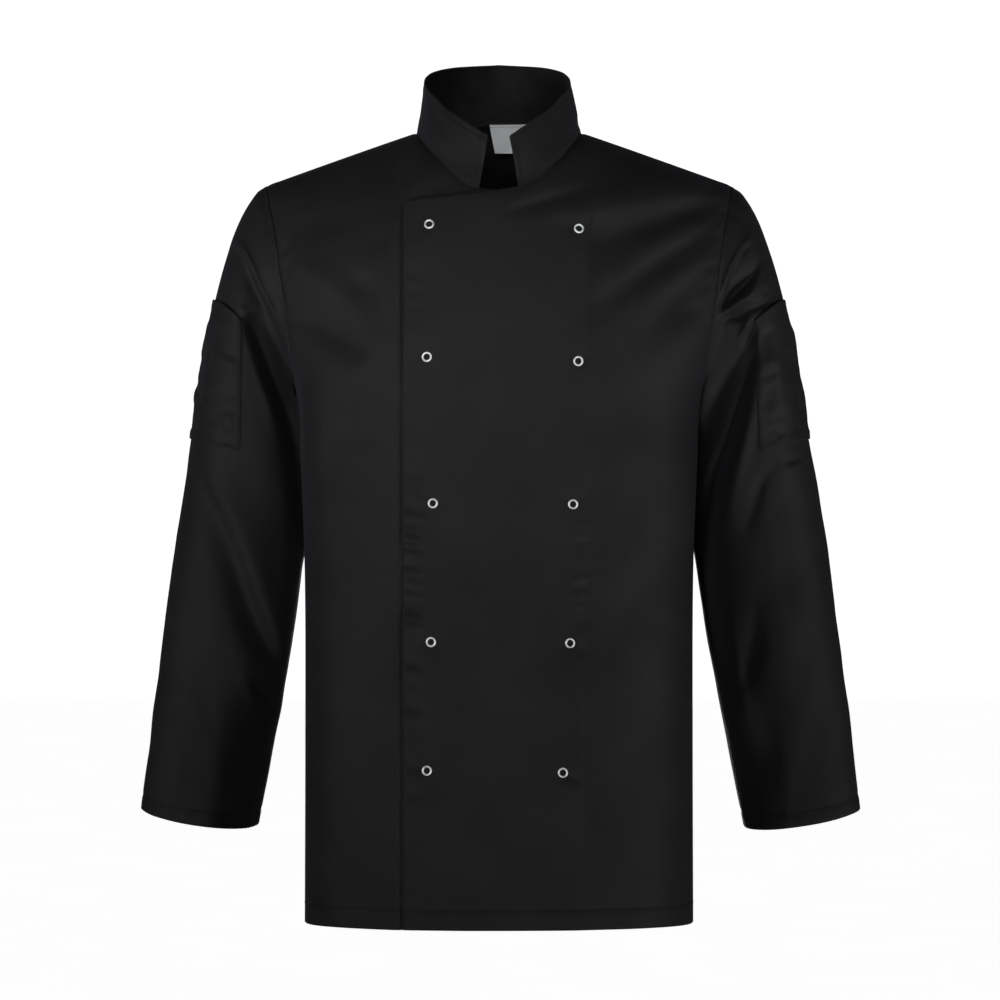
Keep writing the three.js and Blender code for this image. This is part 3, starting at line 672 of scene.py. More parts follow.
@dataclass
class PanelPlan:
    """How the front and the back are divided, and the neckline that they share with the collar."""

    fineness: int = 6
    lap: int = 6
    front_neck: int = 5
    shoulder: int = 9
    back_neck: int = 6
    armhole: int = 12
    below_chest: int = 170
    lap_corner_z: float = -73.0
    notch: tuple[float, float] = (-3.0, -60.5)
    neck_front: float = 92.0
    neck_back: float = 68.0
    neck_reach: float = 84.0
    front_power: float = 2.15
    back_power: float = 1.85
    collar_end_x: float = 20.4

    @property
    def end_angle(self) -> float:
        """Angle round the neck where the collar ends, in degrees from the front."""
        return math.degrees(math.asin((self.collar_end_x / FORM.neck_x) ** (self.front_power / 2)))

    def neck_points(self, angle: Array) -> tuple[Array, Array, Array]:
        """The neckline on the form.

        Args:
            angle: Angles round the neck in degrees, 0 at the front and 180 at the nape.

        Returns:
            x, y and z of each point.
        """
        turn = np.radians(angle)
        front = np.cos(turn) >= 0
        power = np.where(front, 2 / self.front_power, 2 / self.back_power)
        reach = np.where(front, -self.neck_front, self.neck_back)
        x = FORM.neck_x * np.abs(np.sin(turn)) ** power
        y = reach * np.abs(np.cos(turn)) ** power
        z = np.where(front, FORM.height(x, y, Face.FRONT), FORM.height(x, y, Face.BACK))
        return x, y, z

    def rise_angle(self, x: Array, z: Array, face: Face) -> Array:
        """Rise angle of a height above the chest, a right angle at the ridge."""
        return np.arcsin(FORM.rise_share(x, z, face))

    def shoulder_edge(self, face: Face) -> Array:
        """Places along the shoulder seam, from the neck to the tip.

        Args:
            face: Front or back.

        Returns:
            One row of x and rise angle for each place.
        """
        x = np.linspace(FORM.neck_x, FORM.tip_x, self.shoulder * self.fineness + 1)
        reach = FORM.section_depth(x, FORM.ridge(x, face), face)
        return np.stack([x, np.arccos(SEAMS.gap / 2 / reach)], axis=-1)

    def armhole_edge(self, face: Face) -> Array:
        """Places up the armhole, from the underarm to the shoulder tip.

        Args:
            face: Front or back.

        Returns:
            One row of x and rise angle for each place.
        """
        turn = np.linspace(0, math.pi, self.armhole * self.fineness + 1)
        middle, half = (FORM.tip_z + FORM.chest_z) / 2, (FORM.tip_z - FORM.chest_z) / 2
        z = middle - half * np.cos(turn)
        x = FORM.armhole.read(face.column, z)
        return np.stack([x, self.rise_angle(x, z, face)], axis=-1)

    def upper_places(self, bottom: Array, top: Array, left: Array, right: Array, face: Face) -> tuple[Array, Array]:
        """Fills the part above the chest between its four edges.

        Args:
            bottom: Edge at the chest, as x and rise angle.
            top: Edge along the neck and shoulder.
            left: Inner edge from the chest up.
            right: Outer edge up the armhole.
            face: Front or back.

        Returns:
            x and z, row by row.
        """
        across = np.linspace(0, 1, len(bottom))[None, :, None]
        up = np.linspace(0, 1, len(left))[:, None, None]
        ruled = mix(bottom[None], top[None], up) + mix(left[:, None], right[:, None], across)
        corners = mix(mix(bottom[0], bottom[-1], across), mix(top[0], top[-1], across), up)
        places = ruled - corners
        x, angle = places[..., 0], places[..., 1]
        if face is Face.BACK:
            angle = top[None, :, 1] * right[:, None, 1] / right[-1, 1]
        return x, FORM.chest_z + (FORM.ridge(x, face) - FORM.chest_z) * np.sin(angle)

    def lower_places(self, shares: list[Array]) -> tuple[Array, Array]:
        """The part below the chest, from the hem up.

        Args:
            shares: Shares of the half width for each row.

        Returns:
            x and z, row by row.
        """
        up = (np.arange(self.below_chest) / self.below_chest)[:, None]
        share = np.array(shares)
        foot = FORM.hem_z - FORM.hem_drop * np.abs(share) ** FORM.hem_power
        z = mix(foot, FORM.chest_z, up)
        return share * FORM.sections.read("half_width", z), z

    def row_heights(self) -> Array:
        """Heights of the rows below the chest."""
        return mix(FORM.hem_z, FORM.chest_z, np.arange(self.below_chest) / self.below_chest)

    def front_places(self) -> tuple[Array, Array]:
        """The left front's points, row by row from the hem to its top edge.

        Returns:
            x and z of each point.
        """
        cells = (self.lap + self.front_neck + self.shoulder) * self.fineness
        edge_x = SEAMS.lap_edge
        lap_x = np.linspace(edge_x, self.collar_end_x, self.lap * self.fineness + 1)[:-1]
        end_z = float(self.neck_points(np.array([self.end_angle]))[2][0])
        corner_x, corner_z = [edge_x, self.notch[0], self.collar_end_x], [self.lap_corner_z, self.notch[1], end_z]
        lap_z = np.interp(lap_x, corner_x, corner_z)
        lap = np.stack([lap_x, self.rise_angle(lap_x, lap_z, Face.FRONT)], axis=-1)
        angles = np.linspace(self.end_angle, 90, self.front_neck * self.fineness + 1)[:-1]
        neck_x, _, neck_z = self.neck_points(angles)
        neck = np.stack([neck_x, self.rise_angle(neck_x, neck_z, Face.FRONT)], axis=-1)
        top = np.concatenate([lap, neck, self.shoulder_edge(Face.FRONT)])
        half_chest = FORM.sections.read("half_width", FORM.chest_z)
        chest = section_shares(FORM.chest_z, edge_x, Face.FRONT, cells) * half_chest
        bottom = np.stack([chest, np.zeros(cells + 1)], axis=-1)
        right = self.armhole_edge(Face.FRONT)
        right[0], right[-1] = bottom[-1], top[-1]
        left = np.stack([np.full(len(right), edge_x), np.linspace(0, top[0, 1], len(right))], axis=-1)
        upper = self.upper_places(bottom, top, left, right, Face.FRONT)
        lower = self.lower_places([section_shares(z, edge_x, Face.FRONT, cells) for z in self.row_heights()])
        return tuple(np.concatenate(pair) for pair in zip(lower, upper))

    def back_places(self) -> tuple[Array, Array]:
        """The back's points, row by row from the hem to its top edge.

        Returns:
            x and z of each point.
        """
        half = (self.back_neck + self.shoulder) * self.fineness

        def both_ways(values: Array, sign: float) -> Array:
            """Values from the middle outward, with their mirror image before them."""
            return np.concatenate([sign * values[:0:-1], values])

        angles = np.linspace(180, 90, self.back_neck * self.fineness + 1)[:-1]
        neck_x, _, neck_z = self.neck_points(angles)
        neck = np.stack([neck_x, self.rise_angle(neck_x, neck_z, Face.BACK)], axis=-1)
        top_half = np.concatenate([neck, self.shoulder_edge(Face.BACK)])
        top = np.stack([both_ways(top_half[:, 0], -1), both_ways(top_half[:, 1], 1)], axis=-1)
        half_chest = FORM.sections.read("half_width", FORM.chest_z)
        chest = section_shares(FORM.chest_z, 0, Face.BACK, half) * half_chest
        bottom = np.stack([both_ways(chest, -1), np.zeros(2 * half + 1)], axis=-1)
        right = self.armhole_edge(Face.BACK)
        right[0], right[-1] = bottom[-1], top[-1]
        left = right * np.array([-1, 1])
        upper = self.upper_places(bottom, top, left, right, Face.BACK)
        rows = [both_ways(section_shares(z, 0, Face.BACK, half), -1) for z in self.row_heights()]
        return tuple(np.concatenate(pair) for pair in zip(self.lower_places(rows), upper))


PLAN = PanelPlan(fineness=7, below_chest=190)
BACK_PLAN = PanelPlan(fineness=5)


def cloth_lengths(points: Array, closed: bool) -> tuple[Array, Array]:
    """Distances over the cloth, along the rows and up the columns, for its weave.

    Args:
        points: Rows of points.
        closed: Whether each row closes on itself. Not used.

    Returns:
        Distance along the row and distance up, for each point.
    """
    along = np.linalg.norm(np.diff(points, axis=1), axis=-1).mean(axis=0)
    up = np.linalg.norm(np.diff(points, axis=0), axis=-1).mean(axis=1)
    across = np.concatenate([[0], np.cumsum(along)])
    upward = np.concatenate([[0], np.cumsum(up)])
    return np.broadcast_to(across, points.shape[:2]), np.broadcast_to(upward[:, None], points.shape[:2])


@dataclass
class ClothWall:
    """A wall of cloth made from a grid of its outer points, with rounded edges and a map of its weave."""

    name: str
    points: Array
    thickness: float
    closed: bool = False
    stitch: Array | None = None
    edge_round: float = 0.45

    def build(self) -> bpy.types.Object:
        """Makes the object, with a UV map in metres of cloth and the distance to the nearest stitching.

        Returns:
            The object, in the scene.
        """
        points = self.points
        normals = grid_normals(points, self.closed)
        inner = points - normals * self.thickness
        rows, columns = points.shape[:2]
        across, upward = cloth_lengths(points, self.closed)
        vertices = [points.reshape(-1, 3), inner.reshape(-1, 3)]
        places = [np.stack([across, upward], axis=-1).reshape(-1, 2)] * 2
        far = np.full(rows * columns, SEAMS.far_from_stitch)
        distances = [far if self.stitch is None else self.stitch.reshape(-1), far]
        index = np.arange(rows * columns).reshape(rows, columns)
        if self.closed:
            index = np.concatenate([index, index[:, :1]], axis=1)
        layer = rows * columns
        a, b, c, d = index[:-1, :-1], index[:-1, 1:], index[1:, 1:], index[1:, :-1]
        faces = [np.stack([a, b, c, d], axis=-1).reshape(-1, 4)]
        faces.append(np.stack([a, d, c, b], axis=-1).reshape(-1, 4) + layer)
        borders = [(index[0], points[0] - points[1], False), (index[-1], points[-1] - points[-2], True)]
        if not self.closed:
            borders.append((index[:, 0], points[:, 0] - points[:, 1], True))
            borders.append((index[:, -1], points[:, -1] - points[:, -2], False))
        count = 2 * layer
        for line, outward, flipped in borders:
            outer_points = points.reshape(-1, 3)[line]
            inner_points = inner.reshape(-1, 3)[line]
            outward = unit(outward)
            if len(outward) < len(line):
                outward = np.concatenate([outward, outward[:1]])
            middle = (outer_points + inner_points) / 2 + outward * self.thickness * self.edge_round
            fresh = np.arange(len(line)) + count
            if self.closed:
                middle, fresh = middle[:-1], np.concatenate([fresh[:-1], fresh[:1]])
            vertices.append(middle)
            places.append(places[0][line[: len(middle)]])
            distances.append(distances[0][line[: len(middle)]])
            count += len(middle)
            for near, far in ((line, fresh), (fresh, line + layer)):
                strip = np.stack([near[:-1], far[:-1], far[1:], near[1:]], axis=-1)
                faces.append(strip[:, ::-1] if flipped else strip)
        return self._object(*(np.concatenate(parts) for parts in (vertices, faces, places, distances)))

    def _object(self, vertices: Array, faces: Array, places: Array, distances: Array) -> bpy.types.Object:
        """Turns arrays into a mesh object whose faces point out.

        Args:
            vertices: One row for each point, in millimetres.
            faces: Corners of each face.
            places: Place on the flat cloth of each point.
            distances: Distance of each point from stitching.

        Returns:
            The object, in the scene.
        """
        obj = mesh_object(self.name, vertices, faces)
        mesh = obj.data
        loops = np.zeros(len(mesh.loops), np.int32)
        mesh.loops.foreach_get("vertex_index", loops)
        uv = mesh.uv_layers.new(name="cloth")
        uv.data.foreach_set("uv", (places[loops] * MM).astype(np.float32).reshape(-1))
        layer = mesh.attributes.new("stitch_distance", "FLOAT", "POINT")
        layer.data.foreach_set("value", distances.astype(np.float32))
        return obj


def mesh_object(name: str, vertices: Array, faces: Array | Sequence[Sequence[int]]) -> bpy.types.Object:
    """Makes a smooth mesh object from points in millimetres, with its faces turned outward.

    Args:
        name: Name of the object and its mesh.
        vertices: One row for each point.
        faces: Indices of the corners of each face.

    Returns:
        The object, in the scene.
    """
    faces = np.asarray(faces)
    first, second, third = (vertices[faces[:, corner]] for corner in range(3))
    volume = np.einsum("ij,ij->i", first, np.cross(second, third)).sum()
    if faces.shape[1] == 4:
        fourth = vertices[faces[:, 3]]
        volume += np.einsum("ij,ij->i", first, np.cross(third, fourth)).sum()
    if volume < 0:
        faces = faces[:, ::-1]
    mesh = bpy.data.meshes.new(name)
    mesh.from_pydata((vertices * MM).tolist(), [], faces.tolist())
    mesh.polygons.foreach_set("use_smooth", np.ones(len(mesh.polygons), bool))
    mesh.update()
    obj = bpy.data.objects.new(name, mesh)
    bpy.context.scene.collection.objects.link(obj)
    return obj


class NodeTree:
    """Short ways to add and join the nodes of a tree."""

    def __init__(self, tree: bpy.types.NodeTree) -> None:
        """Keeps the tree that nodes are added to."""
        self.tree = tree

    def add(self, kind: str, **settings: object) -> bpy.types.Node:
        """Adds a node.

        Args:
            kind: Its type's identifier.
            settings: Properties to set on it.

        Returns:
            The node.
        """
        node = self.tree.nodes.new(kind)
        for name, value in settings.items():
            setattr(node, name, value)
        return node

    def join(self, source: bpy.types.NodeSocket, target: bpy.types.NodeSocket) -> None:
        """Links two sockets."""
        self.tree.links.new(source, target)

    def math(self, operation: str, first: object, second: object = None) -> bpy.types.NodeSocket:
        """Adds a math node.

        Args:
            operation: What it does.
            first: A socket or a number.
            second: A socket or a number, where the operation takes two.

        Returns:
            Its output.
        """
        node = self.add("ShaderNodeMath", operation=operation)
        for index, value in enumerate((first, second)):
            if value is None:
                continue
            if isinstance(value, (int, float)):
                node.inputs[index].default_value = value
            else:
                self.join(value, node.inputs[index])
        return node.outputs[0]

    def ramp(
        self, factor: bpy.types.NodeSocket, low: float, high: float, start: float, end: float
    ) -> bpy.types.NodeSocket:
        """Maps a value from one range to another and holds it there.

        Args:
            factor: The value.
            low: Value that gives start.
            high: Value that gives end.
            start: Result at low.
            end: Result at high.

        Returns:
            The result's socket.
        """
        node = self.add("ShaderNodeMapRange", clamp=True)
        self.join(factor, node.inputs["Value"])
        for name, value in (("From Min", low), ("From Max", high), ("To Min", start), ("To Max", end)):
            node.inputs[name].default_value = value
        return node.outputs["Result"]


    def noise(self, place: bpy.types.NodeSocket, scale: float, detail: float = 2.0) -> bpy.types.NodeSocket:
        """Adds a noise texture.

        Args:
            place: Where it is read.
            scale: How fine it is.
            detail: How many finer layers it has.

        Returns:
            Its value's socket.
        """
        node = self.add("ShaderNodeTexNoise")
        node.inputs["Scale"].default_value = scale
        node.inputs["Detail"].default_value = detail
        self.join(place, node.inputs["Vector"])
        return node.outputs["Fac"]

    def blend(self, factor: bpy.types.NodeSocket, first: Colour, second: Colour) -> bpy.types.NodeSocket:
        """Mixes two colours.

        Args:
            factor: Share of the second.
            first: One colour.
            second: The other.

        Returns:
            The mixed colour's socket.
        """
        node = self.add("ShaderNodeMix", data_type="RGBA")
        node.inputs["A"].default_value = (*first, 1)
        node.inputs["B"].default_value = (*second, 1)
        self.join(factor, node.inputs["Factor"])
        return node.outputs["Result"]

    def relief(self, height: bpy.types.NodeSocket, strength: float, distance: float) -> bpy.types.NodeSocket:
        """Turns a height into a direction with a bump node.

        Args:
            height: The height.
            strength: How much of it counts.
            distance: Height in metres that a value of one stands for.

        Returns:
            The direction's socket.
        """
        node = self.add("ShaderNodeBump")
        node.inputs["Strength"].default_value = strength
        node.inputs["Distance"].default_value = distance
        self.join(height, node.inputs["Height"])
        return node.outputs["Normal"]


class TwillGroup:
    """Shader group for twill: diagonal lines, uneven yarn and the groove along stitching, with painted shade that
    darkens the colour in that groove.
    """

    NAME = "twill_weave"
    ACROSS = 1000.0
    UP = 620.0
    CROSS_THREADS = 1250

    @classmethod
    def get(cls) -> bpy.types.NodeTree:
        """The group, made once."""
        return bpy.data.node_groups.get(cls.NAME) or cls._build()

    @classmethod
    def _build(cls) -> bpy.types.NodeTree:
        """Makes the group.

        Returns:
            The group.
        """
        tree = bpy.data.node_groups.new(cls.NAME, "ShaderNodeTree")
        for name, value in (("Line pitch", 0.9), ("Line height", 0.5), ("Yarn height", 0.5), ("Groove", 1.0)):
            socket = tree.interface.new_socket(name=name, in_out="INPUT", socket_type="NodeSocketFloat")
            socket.default_value = value
        for name in ("Height", "Tone and groove shade", "Fray"):
            tree.interface.new_socket(name=name, in_out="OUTPUT", socket_type="NodeSocketFloat")
        nodes = NodeTree(tree)
        entry, leave = nodes.add("NodeGroupInput"), nodes.add("NodeGroupOutput")
        place = nodes.add("ShaderNodeUVMap", uv_map="cloth")
        split = nodes.add("ShaderNodeSeparateXYZ")
        nodes.join(place.outputs["UV"], split.inputs[0])
        across, up = split.outputs["X"], split.outputs["Y"]
        wobble = nodes.noise(place.outputs["UV"], 260)
        slant = nodes.math("ADD", nodes.math("MULTIPLY", across, cls.ACROSS), nodes.math("MULTIPLY", up, cls.UP))
        slant = nodes.math("ADD", slant, nodes.math("MULTIPLY", wobble, 0.7))
        turn = nodes.math("MULTIPLY", nodes.math("DIVIDE", slant, entry.outputs["Line pitch"]), 2 * math.pi)
        lines = nodes.math("SINE", turn)
        cross = nodes.math("SINE", nodes.math("MULTIPLY", up, 2 * math.pi * cls.CROSS_THREADS))
        lines = nodes.math("ADD", lines, nodes.math("MULTIPLY", cross, 0.35))
        stretched = nodes.add("ShaderNodeMapping")
        stretched.inputs["Scale"].default_value = (1.0, 0.16, 1.0)
        nodes.join(place.outputs["UV"], stretched.inputs["Vector"])
        yarn = nodes.noise(stretched.outputs["Vector"], 900, 3)
        cloudy = nodes.noise(place.outputs["UV"], 14, 4)
        fuzz = nodes.noise(place.outputs["UV"], 420)
        distance = nodes.add("ShaderNodeAttribute", attribute_name="stitch_distance")
        away = nodes.math("ABSOLUTE", distance.outputs["Fac"])
        groove = nodes.ramp(away, 0.0, 1.6, 1.0, 0.0)
        height = nodes.math("MULTIPLY", lines, entry.outputs["Line height"])
        height = nodes.math("ADD", height, nodes.math("MULTIPLY", yarn, entry.outputs["Yarn height"]))
        height = nodes.math("SUBTRACT", height, nodes.math("MULTIPLY", groove, entry.outputs["Groove"]))
        nodes.join(height, leave.inputs["Height"])
        tone_and_groove_shade = nodes.math("ADD", nodes.ramp(cloudy, 0.3, 0.7, -0.5, 0.5), nodes.math("MULTIPLY", lines, 0.16))
        tone_and_groove_shade = nodes.math("ADD", tone_and_groove_shade, nodes.ramp(yarn, 0.3, 0.7, -0.25, 0.25))
        # painted shade: the colour is darkened in the groove along stitching
        tone_and_groove_shade = nodes.math("SUBTRACT", tone_and_groove_shade, nodes.math("MULTIPLY", groove, 0.8))
        nodes.join(tone_and_groove_shade, leave.inputs["Tone and groove shade"])
        nodes.join(fuzz, leave.inputs["Fray"])
        return tree


@dataclass(frozen=True)
class Finish:
    """A finish, whose material is made once."""

    name: str

    def material(self) -> bpy.types.Material:
        """The finish as a material.

        Returns:
            The material, which is made at the first call.
        """
        found = bpy.data.materials.get(self.name)
        if found:
            return found
        material = bpy.data.materials.new(self.name)
        material.use_nodes = True
        self._paint(NodeTree(material.node_tree), material.node_tree.nodes["Principled BSDF"].inputs)
        return material

    def _paint(self, nodes: NodeTree, shader: bpy.types.bpy_prop_collection) -> None:
        """Sets the shader's inputs.

        Args:
            nodes: The material's tree.
            shader: Inputs of its Principled shader.
        """
        raise NotImplementedError


@dataclass(frozen=True)
class TwillFinish(Finish):
    """Dark cotton twill with a soft sheen."""

    dark: Colour
    light: Colour
    roughness: float = 0.62
    sheen: float = 0.3
    sheen_roughness: float = 0.45
    specular: float = 0.12
    line_pitch: float = 0.9
    bump: float = 0.35

    def _paint(self, nodes: NodeTree, shader: bpy.types.bpy_prop_collection) -> None:
        """Sets the shader's inputs, from the weave group.

        Args:
            nodes: The material's tree.
            shader: Inputs of its shader.
        """
        weave = nodes.add("ShaderNodeGroup", node_tree=TwillGroup.get())
        weave.inputs["Line pitch"].default_value = self.line_pitch
        # the weave's tone, which carries painted shade in the groove along stitching
        tone_and_groove_shade = nodes.ramp(weave.outputs["Tone and groove shade"], -0.9, 0.9, 0.0, 1.0)
        nodes.join(nodes.blend(tone_and_groove_shade, self.dark, self.light), shader["Base Color"])
        rough = nodes.ramp(weave.outputs["Fray"], 0.3, 0.7, self.roughness - 0.06, self.roughness + 0.06)
        nodes.join(rough, shader["Roughness"])
        shader["Sheen Weight"].default_value = self.sheen
        shader["Sheen Roughness"].default_value = self.sheen_roughness
        shader["Sheen Tint"].default_value = (0.8, 0.85, 1.0, 1)
        shader["Specular IOR Level"].default_value = self.specular
        nodes.join(nodes.relief(weave.outputs["Height"], self.bump, 0.0002), shader["Normal"])


@dataclass(frozen=True)
class MetalFinish(Finish):
    """Bright satin nickel with faint scuffs."""

    name: str = "stud_nickel"

    def _paint(self, nodes: NodeTree, shader: bpy.types.bpy_prop_collection) -> None:
        """Sets the shader's inputs, from one noise of scuffs.

        Args:
            nodes: The material's tree.
            shader: Inputs of its shader.
        """
        shader["Metallic"].default_value = 1
        scuffs = nodes.noise(nodes.add("ShaderNodeTexCoord").outputs["Object"], 1500, 4)
        nodes.join(nodes.ramp(scuffs, 0.35, 0.7, 0.5, 0.66), shader["Roughness"])
        nodes.join(nodes.blend(scuffs, (0.96, 0.96, 0.97), (0.84, 0.84, 0.86)), shader["Base Color"])
        nodes.join(nodes.relief(scuffs, 0.1, 0.0001), shader["Normal"])


@dataclass(frozen=True)
class StageFinish(Finish):
    """Pale matt paper of the studio's floor, which glows so that it shows nearly white."""

    name: str = "studio_paper"

    def _paint(self, nodes: NodeTree, shader: bpy.types.bpy_prop_collection) -> None:
        """Sets the shader's inputs, from one soft noise.

        Args:
            nodes: The material's tree.
            shader: Inputs of its shader.
        """
        shader["Roughness"].default_value = 0.9
        grain = nodes.noise(nodes.add("ShaderNodeTexCoord").outputs["Object"], 2)
        colour = nodes.blend(grain, (0.93, 0.93, 0.93), (0.96, 0.96, 0.96))
        nodes.join(colour, shader["Base Color"])
        nodes.join(colour, shader["Emission Color"])
        shader["Emission Strength"].default_value = 1.0


JACKET_TWILL = TwillFinish(
    "black_twill", dark=(0.0078, 0.0078, 0.0086), light=(0.0148, 0.0148, 0.0162),
    roughness=0.58, sheen=0.03, specular=0.14,
)
LABEL_CLOTH = TwillFinish(
    "label_satin", dark=(0.78, 0.8, 0.83), light=(0.9, 0.92, 0.95),
    roughness=0.5, sheen=0.1, line_pitch=0.7, bump=0.2,
)
# Black thread, its colour set darker than the cloth: partly the thread's own colour, partly painted shade of the
# stitch groove.
THREAD = TwillFinish(
    "black_thread_groove_shade", dark=(0.003, 0.003, 0.0035), light=(0.007, 0.007, 0.008),
    roughness=0.5, sheen=0.02, line_pitch=0.3,
)


class StitchTree:
    """Geometry Nodes tree that lays stitches along a line."""

    NAME = "stitch_run"

    @classmethod
    def get(cls) -> bpy.types.NodeTree:
        """The tree, made once."""
        return bpy.data.node_groups.get(cls.NAME) or cls._build()

    @classmethod
    def _build(cls) -> bpy.types.NodeTree:
        """Makes the tree with its named inputs.

        Returns:
            The tree.
        """
        tree = bpy.data.node_groups.new(cls.NAME, "GeometryNodeTree")
        interface = tree.interface
        interface.new_socket(name="Geometry", in_out="INPUT", socket_type="NodeSocketGeometry")
        for name, value in (("Pitch", 0.003), ("Stitch length", 0.0022), ("Thread", 0.00022), ("Unevenness", 0.12)):
            socket = interface.new_socket(name=name, in_out="INPUT", socket_type="NodeSocketFloat")
            socket.default_value = value
        interface.new_socket(name="Material", in_out="INPUT", socket_type="NodeSocketMaterial")
        interface.new_socket(name="Geometry", in_out="OUTPUT", socket_type="NodeSocketGeometry")
        nodes = NodeTree(tree)
        entry, leave = nodes.add("NodeGroupInput"), nodes.add("NodeGroupOutput")
        to_curve = nodes.add("GeometryNodeMeshToCurve")
        resample = nodes.add("GeometryNodeResampleCurve", mode="LENGTH")
        thread = nodes.add("GeometryNodeMeshUVSphere")
        for name, value in (("Segments", 6), ("Rings", 5), ("Radius", 1.0)):
            thread.inputs[name].default_value = value
        size = nodes.add("ShaderNodeCombineXYZ")
        shaped = nodes.add("GeometryNodeTransform")
        tangent = nodes.add("GeometryNodeInputTangent")
        align = nodes.add("FunctionNodeAlignRotationToVector", axis="Z")
        uneven = nodes.add("FunctionNodeRandomValue", data_type="FLOAT")
        uneven.inputs["Seed"].default_value = 7
        place = nodes.add("GeometryNodeInstanceOnPoints")
        solid = nodes.add("GeometryNodeRealizeInstances")
        painted = nodes.add("GeometryNodeSetMaterial")
        half = nodes.math("MULTIPLY", entry.outputs["Stitch length"], 0.5)
        nodes.join(half, size.inputs["Z"])
        nodes.join(nodes.math("SUBTRACT", 1.0, entry.outputs["Unevenness"]), uneven.inputs[2])
        nodes.join(nodes.math("ADD", 1.0, entry.outputs["Unevenness"]), uneven.inputs[3])
        for source, output, target, entrance in (
            (entry, "Geometry", to_curve, "Mesh"),
            (to_curve, "Curve", resample, "Curve"),
            (entry, "Pitch", resample, "Length"),
            (entry, "Thread", size, "X"),
            (entry, "Thread", size, "Y"),
            (thread, "Mesh", shaped, "Geometry"),
            (size, "Vector", shaped, "Scale"),
            (tangent, "Tangent", align, "Vector"),
            (resample, "Curve", place, "Points"),
            (shaped, "Geometry", place, "Instance"),
            (align, "Rotation", place, "Rotation"),
            (uneven, 1, place, "Scale"),
            (place, "Instances", solid, "Geometry"),
            (solid, "Geometry", painted, "Geometry"),
            (entry, "Material", painted, "Material"),
            (painted, "Geometry", leave, "Geometry"),
        ):
            nodes.join(source.outputs[output], target.inputs[entrance])
        return tree


@dataclass
class StitchRun:
    """Stitches along one or more lines, made a plain mesh."""

    name: str
    lines: list[Array]
    pitch: float = 3.0
    length: float = 2.3
    thread: float = 0.24
    unevenness: float = 0.12

    def build(self) -> bpy.types.Object:
        """Makes the stitches.

        Returns:
            The stitches as one object.
        """
        mesh = bpy.data.meshes.new(self.name + "_line")
        vertices, edges, count = [], [], 0
        for line in self.lines:
            vertices.extend((line * MM).tolist())
            edges.extend((count + index, count + index + 1) for index in range(len(line) - 1))
            count += len(line)
        mesh.from_pydata(vertices, edges, [])
        obj = bpy.data.objects.new(self.name, mesh)
        bpy.context.scene.collection.objects.link(obj)
        modifier = obj.modifiers.new("stitches", "NODES")
        modifier.node_group = StitchTree.get()
        values = {
            "Pitch": self.pitch * MM,
            "Stitch length": self.length * MM,
            "Thread": self.thread * MM,
            "Unevenness": self.unevenness,
            "Material": THREAD.material(),
        }
        for item in modifier.node_group.interface.items_tree:
            if item.item_type == "SOCKET" and item.in_out == "INPUT" and item.name in values:
                modifier[item.identifier] = values[item.name]
        obj.update_tag()
        depsgraph = bpy.context.evaluated_depsgraph_get()
        depsgraph.update()
        made = bpy.data.meshes.new_from_object(obj.evaluated_get(depsgraph), depsgraph=depsgraph)
        made.name = self.name
        obj.modifiers.clear()
        obj.data = made
        made.polygons.foreach_set("use_smooth", np.ones(len(made.polygons), bool))
        return obj


def dress(
    obj: bpy.types.Object, material: bpy.types.Material, replaced: Sequence[str] = ()
) -> bpy.types.Object:
    """Gives a piece its material and slot, lets it ride and hides the nodes that it replaces.

    Args:
        obj: The piece.
        material: Its finish.
        replaced: Names of the nodes that it replaces.

    Returns:
        The piece.
    """
    obj.data.materials.clear()
    obj.data.materials.append(material)
    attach(obj, BODY)
    if replaced:
        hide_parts(*replaced)
    LOG.info("%s: %d faces", obj.name, len(obj.data.polygons))
    return obj


